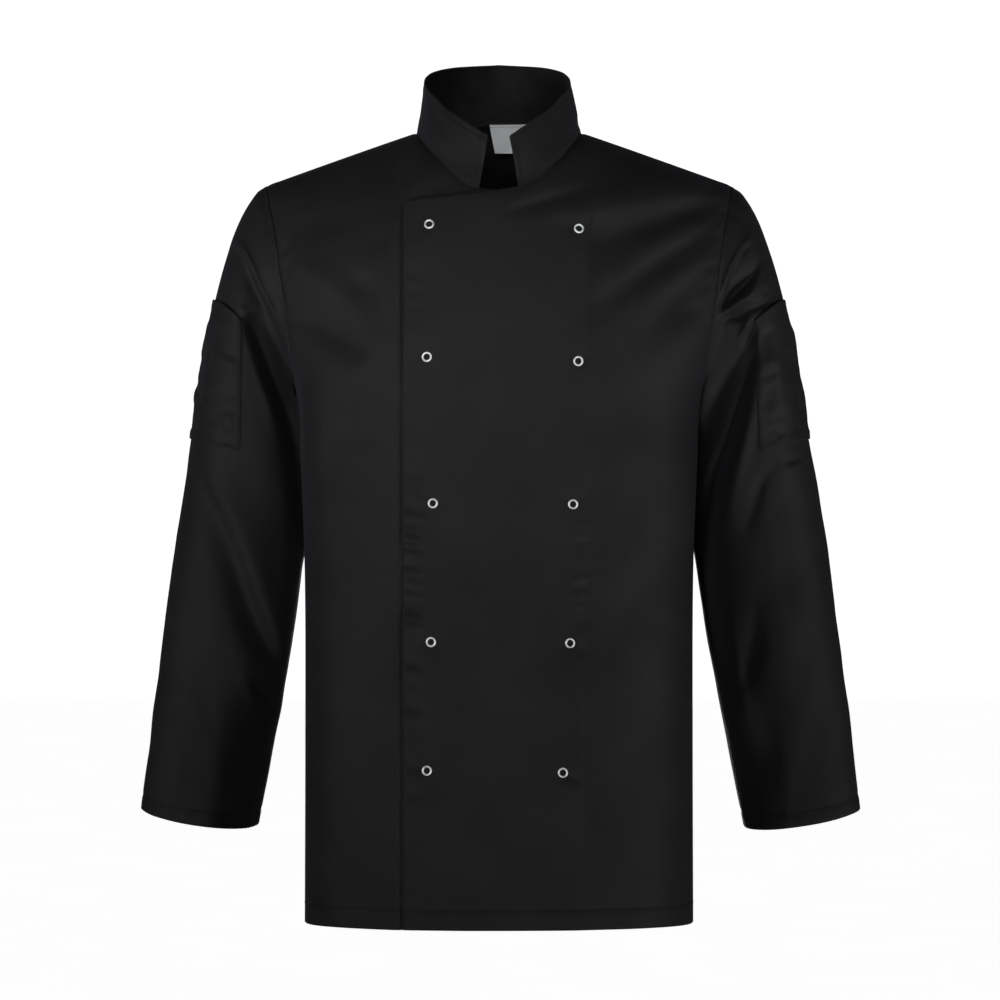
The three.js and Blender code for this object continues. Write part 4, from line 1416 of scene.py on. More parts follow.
@dataclass
class Body:
    """The two fronts and the back."""

    lap_depth: float = 3.0
    full_below: float = -76.0
    gone_above: float = -40.0
    low_band: tuple[float, float] = (92.6, 98.5)
    high_band: tuple[float, float] = (30.0, 80.0)
    front_flat: tuple[float, float] = (0.42, 0.83)
    front_share: float = 0.71
    back_flat: tuple[float, float] = (0.60, 0.88)
    back_share: float = 0.82
    stitch_lines: list[Array] = field(default_factory=list)

    def lap_sink(self, across: Array, z: Array) -> Array:
        """How deep the right front lies under the left one.

        Args:
            across: Distance across from its free edge, as x on the left front.
            z: Heights.

        Returns:
            The depth at each place.
        """
        high = smooth(self.full_below, self.gone_above, z)
        start = mix(self.low_band[0], self.high_band[0], high)
        end = mix(self.low_band[1], self.high_band[1], high)
        share = np.clip((across - start) / (end - start), 0, 1)
        return self.lap_depth * (1 - share * share * (3 - 2 * share))

    def build(self) -> None:
        """Makes the panels and their hem stitching."""
        x, z = PLAN.front_places()
        for side in Side:
            sink = 0 if side is Side.LEFT else self.lap_sink(x, z)
            points = body_points(side.value * x, z, Face.FRONT, sink)
            if side is Side.LEFT:
                lift = edge_puckers(x, z)
                points = points + grid_normals(points, False) * (-lift if self._inward(points) else lift)[..., None]
            points = self._outward(points)
            self._panel(f"front_{side.word}_cloth", f"front_{side.word}", points, self.front_flat, self.front_share)
        x, z = BACK_PLAN.back_places()
        points = self._outward(body_points(x, z, Face.BACK))
        self._panel("back_cloth", "back", points, self.back_flat, self.back_share)
        run = StitchRun("hem_stitching", self.stitch_lines).build()
        dress(run, THREAD.material())

    @staticmethod
    def _inward(points: Array) -> bool:
        """Whether the grid's own normals point into the body."""
        normals = grid_normals(points, False)
        return bool((normals[..., 1] * points[..., 1]).mean() < 0)

    def _outward(self, points: Array) -> Array:
        """The grid with its rows turned round where its normals would point inward."""
        return points[:, ::-1] if self._inward(points) else points

    def _panel(self, name: str, node: str, points: Array, flat: tuple[float, float], share: float) -> None:
        """Makes one panel.

        Args:
            name: Name of the piece.
            node: The node that it stands for.
            points: Its outer points.
            flat: Width and length of its cut. Not used.
            share: Share of that rectangle which the cut fills. Not used.
        """
        foot = points[0, :, 2][None, :]
        stitch = np.minimum(np.abs(points[..., 2] - foot - SEAMS.hem), SEAMS.far_from_stitch)
        obj = ClothWall(name, points, SEAMS.cloth, stitch=stitch).build()
        dress(obj, JACKET_TWILL.material(), [node])
        row = int(np.argmin(np.abs(points[:, 0, 2] - points[0, 0, 2] - SEAMS.hem)))
        normals = grid_normals(points, False)
        self.stitch_lines.append(points[row, 2:-2] + normals[row, 2:-2] * SEAMS.stitch_lift)


SLEEVE_RINGS = SizeTable(
    (
        "ring", "outer_x", "outer_z", "inner_x", "inner_z", "middle_y", "half_depth", "inner_back",
        "lift", "drop", "turn",
    ),
    (
        (0, 231, -50.5, 202, -262, 0, 60, 0, 0, 0, 0),
        (1, 244, -61, 202.3, -267.5, 2, 63, 8, 0.02, 0, 0),
        (3, 264, -98, 201, -278, 9, 69, 20, 0.09, 0, 0),
        (5, 285, -165, 199.4, -290, 17, 74, 18, 0.2, 0, 0),
        (7, 299, -237, 198.3, -308, 25, 75, 14, 0.12, 0, 6),
        (9, 309, -303, 197.2, -334, 31, 71, 8, 0.03, 0, 10),
        (11, 319, -365, 195.6, -384, 35, 65, 4, 0, 0, 10),
        (13, 329, -432, 199, -446, 36, 58.5, 0, 0, 0, 9),
        (15, 339, -508, 211, -524, 33, 52.5, 0, 0, 2, 8),
        (17, 349, -592, 227, -609, 28, 46, 0, 0, 4, 7),
        (19, 358.5, -674, 243, -693, 23, 42, 0, 0, 6, 6),
    ),
)

# Creases of each sleeve in the front view and on its back, with x measured outward.
RIGHT_FRONT_CREASES = (
    # thin ridge over the cap, with the hollow under it
    Crease(
        ((266, -106, 1.5), (255, -114, 3), (245, -133, 3.4), (237, -155, 3.4), (227, -175, 3), (213, -205, 1)), 3.4
    ),
    Crease(
        (
            (268, -116, -2.5), (262, -120, -2), (252, -130, -2.5), (242, -152, -6.5),
            (235, -166, -4.5), (224, -188, -2),
        ),
        4,
        9,
    ),
    Crease(((232, -161, 0), (224, -176, 1.8), (214, -194, 0.6)), 3),
    Crease(((258, -170, 0), (252, -178, 3), (243, -182, 0)), 5),
    # deep channel between the arm and the body
    Crease(
        (
            (249, -179, -3), (243, -192, -13), (236, -213, -24), (226, -243, -33),
            (215, -270, -36), (207, -302, -34), (202, -342, -30), (199, -390, -20),
            (199, -450, 0),
        ),
        17,
        7,
    ),
    Crease(((246, -196, 0), (240, -222, 3), (228, -262, 3), (220, -300, 0)), 6),
    # long trough from the outside of the elbow to the inside of the forearm
    Crease(
        (
            (305, -318, -1.5), (293, -355, -4.5), (276, -390, -6.5), (259, -434, -8.5),
            (247, -474, -10), (230, -511, -10), (218, -536, -4),
        ),
        9,
        17,
    ),
    Crease(
        ((298, -318, 0), (283, -357, 3), (259, -402, 4), (242, -449, 4.5), (224, -494, 3.5), (215, -530, 0)), 21, 9
    ),
    Crease(((249, -545, -2), (238, -558, -8), (228, -574, -7), (219, -592, 0)), 9, 4.5),
    Crease(((262, -530, 0), (248, -548, 2.6), (244, -580, 0)), 7),
    Crease(((296, -530, 0), (293, -570, -2.2), (290, -604, 0)), 9),
    Crease(((330, -560, 0), (306, -600, -1.4), (300, -660, 0)), 12),
    Crease(((290, -580, 0), (280, -640, 1.6), (276, -690, 0.6)), 14),
)
RIGHT_BACK_CREASES = (
    Crease(((262, -120, -1), (244, -170, -4), (222, -216, -3)), 10),
    Crease(((312, -376, -1), (280, -392, -5), (234, -420, -6), (206, -436, 0)), 9, 14),
    Crease(((318, -420, 0), (284, -446, 3), (228, -474, 2), (210, -480, 0)), 11),
    Crease(((322, -452, -1), (288, -478, -5), (242, -508, -5), (216, -516, 0)), 9, 14),
    Crease(((328, -510, 0), (296, -536, -3), (250, -566, -2), (230, -572, 0)), 10, 14),
    Crease(((300, -250, 0), (270, -290, -3), (232, -320, 0)), 13),
    Crease(((330, -590, 0), (300, -640, -1.5), (290, -690, 0)), 14),
)
LEFT_FRONT_CREASES = (
    # ridges and hollows that fan out from the armhole over the cap
    Crease(((250, -100, 0), (246, -108, 2.6), (230, -133, 3.4), (221, -160, 3), (215, -182, 0)), 3.4),
    Crease(((249, -110, 0), (243, -117, -3.4), (237, -126, -1.6), (228, -148, -1.4), (221, -168, 0)), 2.8),
    Crease(
        ((216, -178, -3), (223, -172, -9), (235, -159, -11), (247, -147, -8), (254, -134, -3), (258, -122, 0)), 4.2, 7
    ),
    Crease(((217, -184, 0.5), (225, -177, 4), (236, -170, 5), (248, -163, 5), (257, -146, 2.5), (262, -128, 0)), 4.6),
    Crease(((218, -190, -2), (228, -184, -5), (238, -183, -5), (247, -177, -1)), 4),
    Crease(((255, -178, 0), (245, -192, 3.6), (236, -214, 0)), 3.6),
    Crease(((257, -188, 0), (249, -206, -3.6), (240, -228, -1)), 3.8),
    Crease(((246, -176, -2), (257, -173, -5), (268, -166, -3), (276, -160, 0)), 3),
    Crease(((260, -160, 0), (267, -159, -3), (274, -156, 0)), 2.6),
    Crease(((273, -128, 0), (266, -150, 2.4), (261, -164, 0)), 6),
    # deep channel between the arm and the body
    Crease(
        (
            (250, -216, -6), (244, -240, -18), (237, -268, -30), (226, -306, -38),
            (216, -342, -40), (209, -385, -38), (206, -440, -30), (211, -490, -18),
            (224, -556, 0),
        ),
        22,
        8,
    ),
    Crease(((258, -240, 0), (250, -286, 3), (238, -336, 3), (226, -400, 0)), 7),
    # forearm
    Crease(((275, -325, -1), (259, -352, -3.6), (251, -380, -2.6), (243, -412, 0)), 7),
    Crease(((280, -328, 0), (294, -325, -3), (308, -320, 0)), 3.2),
    Crease(((258, -452, 0), (257, -478, -2.6), (255, -505, -4.6), (251, -530, -4), (242, -562, 0)), 8, 10),
    Crease(((232, -455, 0), (235, -514, 4), (243, -562, 3.4), (247, -584, 0)), 7),
    Crease(((260, -535, 0), (266, -590, -4), (268, -650, 0)), 17),
    Crease(((306, -420, 0), (292, -486, 1.8), (286, -560, 0)), 16),
    Crease(((330, -540, 0), (312, -600, -1.6), (304, -660, 0)), 12),
    Crease(((296, -580, 0), (288, -640, 1.6), (284, -690, 0.6)), 12),
)
LEFT_BACK_CREASES = (
    Crease(((264, -116, -1), (240, -166, -4), (218, -214, -3)), 10),
    Crease(((310, -358, -1), (276, -376, -5), (230, -410, -6), (206, -424, 0)), 9, 14),
    Crease(((316, -400, 0), (280, -428, 3), (226, -460, 2), (208, -468, 0)), 11),
    Crease(((322, -436, -1), (286, -464, -5), (240, -496, -5), (214, -506, 0)), 9, 14),
    Crease(((326, -500, 0), (294, -524, -3), (248, -552, -2), (226, -560, 0)), 10, 14),
    Crease(((298, -240, 0), (266, -284, -3), (230, -312, 0)), 13),
    Crease(((332, -600, 0), (302, -640, -1.5), (290, -690, 0)), 14),
)

# How far back and inward, behind the body, the inner side of each sleeve turns, by its rings.
RIGHT_TURN = SizeTable(
    ("ring", "back", "inward"),
    (
        (0, 0, 0), (2, 5, 2), (4, 9, 5), (6, 13, 7), (8, 15, 8),
        (10, 15, 7), (11.5, 14, 4), (12.4, 12, 1), (13.2, 12, 0), (15, 18, 0),
        (16.2, 38, 0), (17.5, 48, 0), (19, 48, 0),
    ),
)
LEFT_TURN = SizeTable(
    ("ring", "back", "inward"),
    (
        (0, 0, 0), (2, 8, 3), (4, 18, 8), (6, 26, 12), (8, 34, 13),
        (10, 40, 12), (11.2, 44, 7), (12, 46, 2), (12.8, 46, 0), (14, 46, 0),
        (15.5, 38, 0), (16.4, 24, 0), (17.6, 32, 0), (19, 24, 0),
    ),
)


@dataclass
class Sleeve:
    """One sleeve with its patch pocket and stitching."""

    side: Side
    swing: float
    front_creases: tuple[Crease, ...]
    back_creases: tuple[Crease, ...]
    turn: SizeTable
    rings: int = 19
    ring_steps: int = 12
    blend_rings: float = 5.0
    column_width: float = 2.8
    inner_power: float = 0.42
    inner_deeper: float = 0.24
    share: float = 0.86
    flat: tuple[float, float] = (0.46, 0.68)
    pocket_flat: tuple[float, float] = (0.145, 0.175)
    pocket_rings: tuple[float, float] = (5.0, 9.0)
    pocket_turn: tuple[float, float] = (-2.0, 5.0)
    pocket_lift: float = 1.7
    pocket_height: float = 165.0
    pocket_band: float = 14.0
    pocket_stitch: float = 1.8

    @property
    def columns(self) -> int:
        """How many points a ring has."""
        return 2 * PLAN.armhole * PLAN.fineness

    def _ring(self, ring: Array, angle: Array) -> Array:
        """Points of the plain sleeve, with x measured outward.

        Args:
            ring: Which rings, from the armhole down.
            angle: Angles round the sleeve, 0 on its outer side.

        Returns:
            The points.
        """

        def read(name: str) -> Array:
            """A size of the rings."""
            return SLEEVE_RINGS.read(name, ring)

        turned = angle + np.radians(read("turn")) * np.sin(angle)
        outward = (1 + np.cos(turned)) / 2
        raised = outward + read("lift") * np.sin(turned) ** 2
        x = mix(read("inner_x"), read("outer_x"), outward) + self.swing * smooth(5, 11, ring)
        inner_front = (np.cos(turned) < 0) & (np.sin(turned) > 0)
        share = smooth(0, 4, ring)
        full = np.where(inner_front, mix(1.0, self.inner_power, share), 1.0)
        deeper = 1 + np.where(inner_front, self.inner_deeper * share * (0.5 - outward), 0.0)
        round_y = read("half_depth") * deeper * signed_power(np.sin(turned), full)
        y = read("middle_y") - round_y + read("inner_back") * (1 - outward)
        inner = (1 - outward) ** 3
        x, y = x - self.turn.read("inward", ring) * inner, y + self.turn.read("back", ring) * inner
        z = mix(read("inner_z"), read("outer_z"), raised) - read("drop") * np.sin(turned)
        return np.stack([x, y, z], axis=-1)

    def _armhole(self) -> Array:
        """The armhole's edge as a loop, from the shoulder tip round the front to the underarm and back.

        Returns:
            The points, with x measured outward.
        """
        loops = []
        for face in (Face.FRONT, Face.BACK):
            edge = PLAN.armhole_edge(face)
            x = edge[:, 0]
            z = FORM.chest_z + (FORM.ridge(x, face) - FORM.chest_z) * np.sin(edge[:, 1])
            points = body_points(self.side.value * x, z, face)
            points[:, 0] = self.side.value * points[:, 0] + SEAMS.gap / 2
            loops.append(points)
        return np.concatenate([loops[0][::-1], loops[1][1:-1]])

    def _grid(self) -> tuple[Array, Array]:
        """The sleeve's outer points and directions, ring by ring.

        Returns:
            The points and their outward directions, with x measured outward.
        """
        loop = self._armhole()
        angle = 2 * math.pi * np.arange(self.columns) / self.columns
        ring = np.linspace(0, self.rings, self.rings * self.ring_steps + 1)[:, None]
        plain = self._ring(ring, angle[None, :])
        fade = 1 - smooth(0, self.blend_rings, ring)
        plain = plain + (loop - self._ring(np.zeros((1, 1)), angle[None, :])) * fade[..., None]
        normals = grid_normals(plain, True)
        centre = plain.mean(axis=1, keepdims=True)
        if ((plain - centre) * normals).sum() < 0:
            normals = -normals
        x, z = plain[..., 0], plain[..., 2]
        turn = np.sin(angle)[None, :]
        front = smooth(0, 0.45, turn) * sum(crease.rise(x, z) for crease in self.front_creases)
        back = smooth(0, 0.45, -turn) * sum(crease.rise(x, z) for crease in self.back_creases)
        across = self.columns * angle[None, :] / (2 * math.pi) * self.column_width
        seed = 50 + self.side.value
        uneven = 1.1 * hills(np.cos(angle)[None, :] * 1.6 + 20, z / 74 + 33, seed)
        uneven = uneven + 0.7 * hills(np.sin(angle)[None, :] * 3.4 + 22, z / 34 + 50, seed + 4)
        uneven = uneven + 0.2 * hills(np.broadcast_to(across / 15, z.shape), z / 18 + 60, seed + 8)
        puckers = 0.7 * ripple(np.broadcast_to(across / 8, z.shape), seed + 2) * bell(ring - 0.5, 0.5)
        away_from_seam = smooth(0, 0.7, ring)
        seam_ridge = 0.6 * bell(ring - 0.16, 0.13) * smooth(0, 0.1, ring)
        rise = uneven * away_from_seam + puckers * smooth(0, 0.25, ring) + seam_ridge
        above = self._above_cuff(plain)
        rise = rise + hem_relief(above, across, SEAMS.cuff_hem, seed + 20)
        points = plain + normals * rise[..., None]
        points[..., 1] += (back - front) * away_from_seam
        return points, normals

    @staticmethod
    def _tucked(grid: Array, normals: Array) -> Array:
        """The grid with its first edge turned in under the body's cloth, so that no light shows in the seam.

        Args:
            grid: The sleeve's outer points.
            normals: Their outward directions.

        Returns:
            The grid with two more rows before the first.
        """
        columns = grid.shape[1]
        share = smooth(0.02, 0.12, (1 + np.cos(2 * math.pi * np.arange(columns) / columns)) / 2)[:, None]
        under = unit(grid[0] - grid[2]) * mix(0.6, 4.5, share)
        first = grid[0] - normals[0] * mix(0.6, 1.6, share)
        second = grid[0] - normals[0] * mix(0.8, 2.6, share) + under
        return np.concatenate([second[None], first[None], grid])

    @staticmethod
    def _above_cuff(points: Array) -> Array:
        """Distance of each point from the cuff's edge, along the sleeve.

        Args:
            points: The sleeve's points, from the armhole down.

        Returns:
            One distance for each point.
        """
        steps = np.linalg.norm(np.diff(points, axis=0), axis=-1)
        total = np.cumsum(steps[::-1], axis=0)[::-1]
        return np.concatenate([total, np.zeros((1, points.shape[1]))])

    def _mirrored(self, points: Array) -> Array:
        """Points with x measured to the wearer's left."""
        return points * np.array([self.side.value, 1, 1])

    def _facing_out(self, points: Array, normals: Array, closed: bool) -> Array:
        """The grid, turned round where its own normals would point inward."""
        inward = (grid_normals(points, closed) * self._mirrored(normals)).sum() < 0
        return points[:, ::-1] if inward else points

    def build(self) -> None:
        """Makes the sleeve, its pocket and their stitching."""
        word = self.side.word
        grid, normals = self._grid()
        whole = self._tucked(grid, normals)
        points = self._facing_out(self._mirrored(whole), np.concatenate([normals[:1], normals[:1], normals]), True)
        stitch = np.minimum(np.abs(self._above_cuff(points) - SEAMS.cuff_hem), SEAMS.far_from_stitch)
        obj = ClothWall(f"sleeve_{word}_cloth", points, SEAMS.cloth, closed=True, stitch=stitch).build()
        dress(obj, JACKET_TWILL.material(), [f"sleeve_{word}"])
        above = self._above_cuff(grid)
        row = int(np.argmin(np.abs(above.mean(axis=1) - SEAMS.cuff_hem)))
        cuff = self._mirrored(grid[row] + normals[row] * SEAMS.stitch_lift)
        lines = [np.concatenate([cuff, cuff[:1]])]
        lines += self._pocket(grid, normals)
        dress(StitchRun(f"sleeve_{word}_stitching", lines).build(), THREAD.material())

    def _pocket(self, grid: Array, normals: Array) -> list[Array]:
        """Makes the patch pocket on the sleeve's own points.

        Args:
            grid: The sleeve's outer points.
            normals: Their outward directions.

        Returns:
            The lines of its stitching.
        """
        per_column = self.columns / 24
        first = round(self.pocket_turn[0] * per_column)
        last = round(self.pocket_turn[1] * per_column)
        columns = np.arange(first, last + 1) % self.columns
        top, foot = (round(ring * self.ring_steps) for ring in self.pocket_rings)
        rows = np.arange(top, foot + 1)
        base, out = grid[rows][:, columns], normals[rows][:, columns]
        up = np.linspace(0, 1, len(rows))[:, None]
        across = np.linspace(0, 1, len(columns))[None, :]
        inside = smooth(0, 0.12, across) * smooth(0, 0.12, 1 - across) * smooth(0, 0.1, 1 - up)
        seed = 70 + self.side.value
        loose = 0.6 * hills(up * 4.5 + 3, across * 3.6 + 3, seed)
        loose = loose + 1.1 * hills(up * 9 + 9, across * 6.5 + 9, seed + 2)
        loose = loose + 0.6 * hills(up * 17 + 3, across * 10 + 5, seed + 3)
        drags = ripple(np.broadcast_to(up * 15 + across * 2, loose.shape), seed + 5)
        drags = 2.0 * drags * (bell(across - 0.1, 0.09) + bell(across - 0.9, 0.09))
        foot_drags = ripple(np.broadcast_to(across * 9, loose.shape), seed + 7)
        drags = drags + 0.6 * foot_drags * bell(up - 0.92, 0.06)
        off_sides = smooth(0, 0.05, across) * smooth(0, 0.05, 1 - across)
        rise = self.pocket_lift + (0.8 + loose) * inside + drags * off_sides
        groove = bell((1 - up) * self.pocket_height - self.pocket_band, 2.6)
        rise = rise - 0.7 * groove * smooth(0, 0.04, across) * smooth(0, 0.04, 1 - across)
        points = base + out * rise[..., None]
        steps = np.linalg.norm(np.diff(points[:, len(columns) // 2], axis=0), axis=-1)
        down = np.concatenate([[0], np.cumsum(steps)])
        to_band = np.abs(down - self.pocket_band)[:, None]
        width = np.linalg.norm(points[:, -1] - points[:, 0], axis=-1).mean()
        to_edge = np.minimum(across, 1 - across) * width
        to_foot = (down[-1] - down)[:, None]
        to_outline = np.abs(to_edge - self.pocket_stitch)
        stitch = np.minimum(np.minimum(to_band, to_outline), np.abs(to_foot - self.pocket_stitch))
        turned = self._facing_out(self._mirrored(points), out, False)
        if np.allclose(turned[0, 0], self._mirrored(points)[0, -1]):
            stitch = stitch[:, ::-1]
        name = f"pocket_{self.side.word}"
        obj = ClothWall(f"{name}_cloth", turned, SEAMS.pocket_cloth, stitch=stitch).build()
        dress(obj, JACKET_TWILL.material(), [name])
        raised = self._mirrored(points + out * SEAMS.patch_stitch_lift)
        band_row = int(np.argmin(to_band[:, 0]))
        return [raised[band_row, 1:-1], raised[:, 1], raised[:, -2], raised[-2, 1:-1]]


@dataclass
class Collar:
    """The stand collar, from its end on the right front round the nape to its end on the left front."""

    left_width: float = 70.8
    right_width: float = 74.2
    front: float = 72.0
    back: float = 66.0
    end_angle: float = 9.0
    flat: tuple[float, float] = (0.49, 0.062)
    rows: int = 34
    seat: float = 2.0
    length: float = 440.0
    height: float = 55.0
    end_stitch: float = 5.0
    rim_stitch: float = 4.5
    foot_stitch: float = 2.5
    foot_lip: float = 0.3
    heights: SizeTable = SizeTable(
        ("angle", "z"),
        (
            (0, -11),
            (9, -6.8),
            (17, 0),
            (29, 9.5), (45, 21.5), (58, 33.5), (90, 52.5), (109, 62),
            (126, 67.7), (147, 72.4), (180, 75.5),
        ),
    )

    def _foot(self, angle: Array, lap_sink: Array) -> Array:
        """Foot of the collar, seated a little into the neckline's edge.

        Args:
            angle: Angles round the neck.
            lap_sink: How deep the right front lies under the left one there.

        Returns:
            One point for each angle.
        """
        x, y, z = PLAN.neck_points(angle)
        front = np.cos(np.radians(angle)) >= 0
        normal = np.where(front[:, None], FORM.normal(x, y, z, Face.FRONT), FORM.normal(x, y, z, Face.BACK))
        return np.stack([x, y, z], axis=-1) - normal * (self.seat + lap_sink)[:, None]

    def _rim(self, foot_angle: Array, side: int) -> Array:
        """Rim of the collar above each angle of its foot.

        Args:
            foot_angle: Angles round the neck.
            side: 1 on the wearer's left and -1 on the right.

        Returns:
            One point for each angle.
        """
        share = (foot_angle - PLAN.end_angle) / (180 - PLAN.end_angle)
        angle = mix(self.end_angle, 180, share)
        turn = np.radians(angle)
        width = self.left_width if side > 0 else self.right_width
        depth = np.where(angle < 90, self.front, self.back)
        return np.stack([width * np.sin(turn), -depth * np.cos(turn), self.heights.read("z", angle)], axis=-1)

    def build(self, body: Body) -> None:
        """Makes the collar.

        Args:
            body: The body, whose right front sinks under the left one.
        """
        angle = np.concatenate([np.linspace(PLAN.end_angle, 90, 86)[:-1], np.linspace(90, 180, 86)])
        halves = []
        up = np.linspace(0, 1, self.rows + 1)[:, None, None]
        for side in (-1, 1):
            x, _, z = PLAN.neck_points(angle)
            sink = body.lap_sink(x, z) * (np.cos(np.radians(angle)) >= 0) if side < 0 else np.zeros(len(angle))
            middle = mix(self._foot(angle, sink)[None], self._rim(angle, side)[None], up)
            halves.append(middle * np.array([side, 1, 1]))
        middle = np.concatenate([halves[0], halves[1][:, -2::-1]], axis=1)
        normals = grid_normals(middle, False)
        if (normals[..., :2] * middle[..., :2]).sum() < 0:
            middle, normals = middle[:, ::-1], -normals[:, ::-1]
        share = np.linspace(0, 1, middle.shape[1])[None, :]
        above_foot = up[..., 0] * self.height
        to_end = np.minimum(share, 1 - share) * self.length
        to_rim = (1 - up[..., 0]) * self.height
        stitch = np.minimum(np.abs(to_end - self.end_stitch), np.abs(to_rim - self.rim_stitch))
        stitch = np.minimum(stitch, np.abs(above_foot - self.foot_stitch))
        rise = self._relief(share * self.length, above_foot) - 0.35 * bell(stitch, 1.3)
        rise = rise + self.foot_lip * bell(above_foot, 2.2)
        points = middle + normals * (SEAMS.collar_cloth / 2 + rise)[..., None]
        obj = ClothWall("collar_cloth", points, SEAMS.collar_cloth, stitch=stitch, edge_round=0.5).build()
        dress(obj, JACKET_TWILL.material(), ["collar"])

    @staticmethod
    def _relief(along: Array, up: Array) -> Array:
        """Soft unevenness of the stiffened cloth, with small drags at its seam.

        Args:
            along: Places along the collar.
            up: Heights above its foot.

        Returns:
            How far the cloth stands out.
        """
        soft = 1.3 * hills(along / 34 + 3, up / 24 + 5, 81) + 0.8 * hills(along / 14 + 3, up / 12 + 5, 82)
        drags = 0.4 * ripple(along / 8, 83) * bell(up - 6, 6) * smooth(0, 3, up)
        rim = 0.22 * ripple(along / 9, 84) * bell(up - 49, 5)
        return soft * smooth(0, 9, up) * (1 - 0.6 * smooth(44, 55, up)) + drags + rim


@dataclass
class NeckLabel:
    """A bare label that hangs inside the nape."""

    left_x: float = -9.5
    right_x: float = 32.0
    top_z: float = 15.5
    bottom_z: float = -13.5
    thickness: float = 0.5
    slack: float = 2.2
    lean: float = 5.5
    fold: float = 2.5
    flat: tuple[float, float] = (0.044, 0.036)

    def build(self) -> None:
        """Makes the label with its sewn top and a soft curl at its foot."""
        x = np.linspace(self.left_x, self.right_x, 43)[None, :]
        up = np.linspace(0, 1, 35)[:, None]
        across = np.abs(x / FORM.neck_x) ** PLAN.back_power
        y = PLAN.neck_back * (1 - across) ** (1 / PLAN.back_power)
        y = y - SEAMS.collar_cloth / 2 - SEAMS.gap - self.slack
        curl = -1.2 * (1 - up) ** 2 + 0.35 * hills(up * 3 + 3, x / 14 + 9, 91) * (1 - up)
        lean = self.lean * (1 - up)
        points = np.stack(
            np.broadcast_arrays(x + lean, y + curl, mix(self.bottom_z, self.top_z, up)), axis=-1
        ).astype(float)
        if (grid_normals(points, False)[..., 1]).mean() > 0:
            points = points[:, ::-1]
        to_top = np.broadcast_to((1 - up) * (self.top_z - self.bottom_z), points.shape[:2])
        stitch = np.abs(to_top - self.fold)
        obj = ClothWall("neck_label_cloth", points, self.thickness, stitch=stitch).build()
        dress(obj, LABEL_CLOTH.material(), ["neck_label"])
        row = int(np.argmin(stitch[:, 0]))
        line = points[row, 1:-1] + grid_normals(points, False)[row, 1:-1] * SEAMS.patch_stitch_lift
        run = StitchRun("neck_label_stitching", [line], pitch=2.4, length=1.7, thread=0.16)
        dress(run.build(), THREAD.material())


@dataclass
class RingStud:
    """One open ring stud: a rounded ring with its turned-in lip."""

    name: str
    x: float
    z: float
    radius: float = 5.0
    bore: float = 3.1
    height: float = 1.35
    seat: float = 0.45
    lip: float = 0.3
    segments: int = 44

    def _profile(self) -> list[tuple[float, float]]:
        """Radius and height round the ring's section.

        Returns:
            The section's corners, once round.
        """
        middle, half = (self.radius + self.bore) / 2, (self.radius - self.bore) / 2
        turns = np.linspace(0, math.pi, 9)
        dome = self.height - self.seat
        crown = [(middle + half * math.cos(turn), self.seat + dome * math.sin(turn)) for turn in turns]
        under = [(self.bore + self.lip, -self.lip), (self.radius - self.lip, -self.lip)]
        return [*crown, (self.bore, 0.0), *under, (self.radius, 0.0)]

    def build(self) -> None:
        """Makes the ring where the cloth is."""
        x, z = np.array([self.x], float), np.array([self.z], float)
        point = body_points(x, z, Face.FRONT)[0]
        normal = FORM.normal(x, FORM.depth(x, z, Face.FRONT), z, Face.FRONT)[0]
        basis = np.array(Vector((0, 0, 1)).rotation_difference(Vector(normal)).to_matrix())
        profile = np.array(self._profile())
        angle = 2 * math.pi * np.arange(self.segments) / self.segments
        ring = np.stack(
            [
                profile[None, :, 0] * np.cos(angle)[:, None],
                profile[None, :, 0] * np.sin(angle)[:, None],
                np.broadcast_to(profile[None, :, 1], (self.segments, len(profile))),
            ],
            axis=-1,
        )
        vertices = ring.reshape(-1, 3) @ basis.T + point + normal * self.seat
        index = np.arange(self.segments * len(profile)).reshape(self.segments, len(profile))
        after = np.roll(index, -1, axis=0)
        corners = [index, after, np.roll(after, -1, axis=1), np.roll(index, -1, axis=1)]
        faces = np.stack(corners, axis=-1).reshape(-1, 4)
        obj = mesh_object(f"{self.name}_ring", vertices, self._outward(vertices, faces, point))
        dress(obj, MetalFinish().material(), [self.name])

    @staticmethod
    def _outward(vertices: Array, faces: Array, centre: Array) -> Array:
        """Faces turned so that the ring's volume is positive about its own centre.

        Args:
            vertices: The ring's points.
            faces: Corners of each face.
            centre: The ring's middle.

        Returns:
            The faces in the order that points them out.
        """
        corners = vertices - centre
        first, second, third, fourth = (corners[faces[:, corner]] for corner in range(4))
        volume = np.einsum("ij,ij->i", first, np.cross(second, third) + np.cross(third, fourth)).sum()
        return faces if volume > 0 else faces[:, ::-1]


@dataclass(frozen=True)
class SoftBox:
    """A soft light with a narrow spread, aimed at one point of the jacket. Its place and size are in metres."""

    name: str
    place: tuple[float, float, float]
    size: tuple[float, float]
    power: float
    aim: tuple[float, float, float]
    spread: float

    def build(self) -> None:
        """Adds the light, out of the camera's sight."""
        data = bpy.data.lights.new(self.name, "AREA")
        data.shape = "RECTANGLE"
        data.size, data.size_y = self.size
        data.energy = self.power
        data.spread = math.radians(self.spread)
        obj = bpy.data.objects.new(self.name, data)
        obj.location = self.place
        obj.rotation_euler = (Vector(self.aim) - Vector(self.place)).to_track_quat("-Z", "Y").to_euler()
        obj.visible_camera = False
        bpy.context.scene.collection.objects.link(obj)


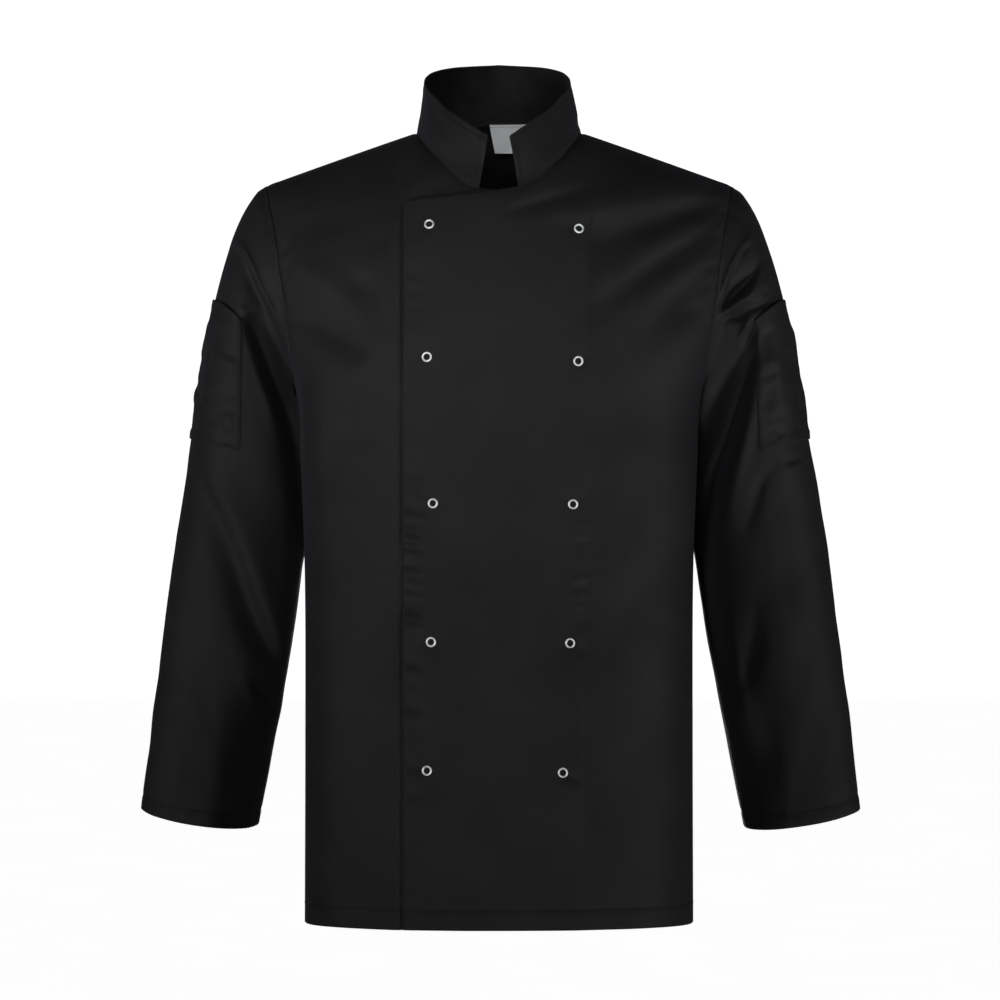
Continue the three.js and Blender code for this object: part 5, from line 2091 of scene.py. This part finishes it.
@dataclass
class Studio:
    """Floor, pale surroundings, lights and camera."""

    distance: float = 4.4
    eye_x: float = 0.001
    eye_z: float = -0.365
    lens: float = 158.4
    film_width: float = 36.0
    sight: float = 100.0
    light_round: float = 0.04
    white_round: float = 1.05
    floor_z: float = -2.4
    floor_reach: float = 40.0
    boxes: tuple[SoftBox, ...] = (
        SoftBox("left_box", (-3.45, -1.85, -0.65), (0.8, 0.7), 2.15, (0.0, 0.0, -0.1), 35),
        SoftBox("right_box", (3.4, -1.9, -1.85), (0.7, 0.6), 3.2, (0.0, 0.0, -0.08), 34),
        SoftBox("chest_box", (-0.4, -2.0, -1.35), (1.1, 0.3), 1.9, (-0.05, 0.0, 0.06), 48),
        SoftBox("neck_box", (0.1, -2.6, 0.25), (0.5, 0.3), 0.075, (0.0, 0.0, 0.01), 16),
        SoftBox("top_box", (-0.5, -2.7, 0.4), (0.5, 0.3), 0.15, (-0.05, 0.0, -0.1), 14),
        SoftBox("hem_box", (0.0, -2.3, -1.3), (0.8, 0.3), 0.14, (0.0, 0.0, -0.88), 19),
        SoftBox("back_high_box", (0.35, 4.3, 0.2), (0.7, 0.7), 3.5, (0.0, 0.0, -0.33), 46),
        SoftBox("back_low_box", (-0.3, 4.0, -1.9), (0.7, 0.7), 5.5, (0.0, 0.0, -0.36), 46),
    )

    def build(self) -> None:
        """Sets the stage round the jacket."""
        bpy.context.scene.view_settings.view_transform = "Standard"
        self._floor()
        self._world()
        for box in self.boxes:
            box.build()
        camera = bpy.data.objects.new("camera", bpy.data.cameras.new("camera"))
        bpy.context.scene.collection.objects.link(camera)
        camera.data.lens = self.lens
        camera.data.sensor_width = self.film_width
        camera.location = (self.eye_x, -self.distance, self.eye_z)
        camera.rotation_euler = (math.pi / 2, 0, 0)
        camera.data.clip_end = self.sight
        bpy.context.scene.camera = camera

    def _floor(self) -> None:
        """A wide sheet of pale paper under the jacket, which throws no light back on it."""
        reach = self.floor_reach
        corners = [(-reach, -reach), (reach, -reach), (reach, reach), (-reach, reach)]
        vertices = np.array([(x, y, self.floor_z) for x, y in corners])
        obj = mesh_object("studio_floor", vertices / MM, [(0, 1, 2, 3)])
        obj.data.materials.append(StageFinish().material())
        obj.visible_diffuse = obj.visible_glossy = False

    def _world(self) -> None:
        """Pale surroundings that the camera sees, and that light the jacket only a little."""
        world = bpy.data.worlds.new("studio_world")
        world.use_nodes = True
        nodes = NodeTree(world.node_tree)
        background = world.node_tree.nodes["Background"]
        background.inputs["Color"].default_value = (1, 1, 1, 1)
        path = nodes.add("ShaderNodeLightPath")
        strength = nodes.ramp(path.outputs["Is Camera Ray"], 0.0, 1.0, self.light_round, self.white_round)
        nodes.join(strength, background.inputs["Strength"])
        bpy.context.scene.world = world


def main() -> None:
    """Builds the jacket and its stage."""
    logging.basicConfig(level=logging.INFO, format="%(name)s: %(message)s")
    Studio().build()
    body = Body()
    body.build()
    Sleeve(Side.LEFT, 4.0, LEFT_FRONT_CREASES, LEFT_BACK_CREASES, LEFT_TURN).build()
    Sleeve(Side.RIGHT, 0.5, RIGHT_FRONT_CREASES, RIGHT_BACK_CREASES, RIGHT_TURN).build()
    Collar().build(body)
    NeckLabel().build()
    for row, (edge_x, edge_z, side_x, side_z) in enumerate(STUD_PLACES, 1):
        RingStud(f"stud_a{row}", edge_x, edge_z).build()
        RingStud(f"stud_b{row}", side_x, side_z).build()


if __name__ == "__main__":
    main()
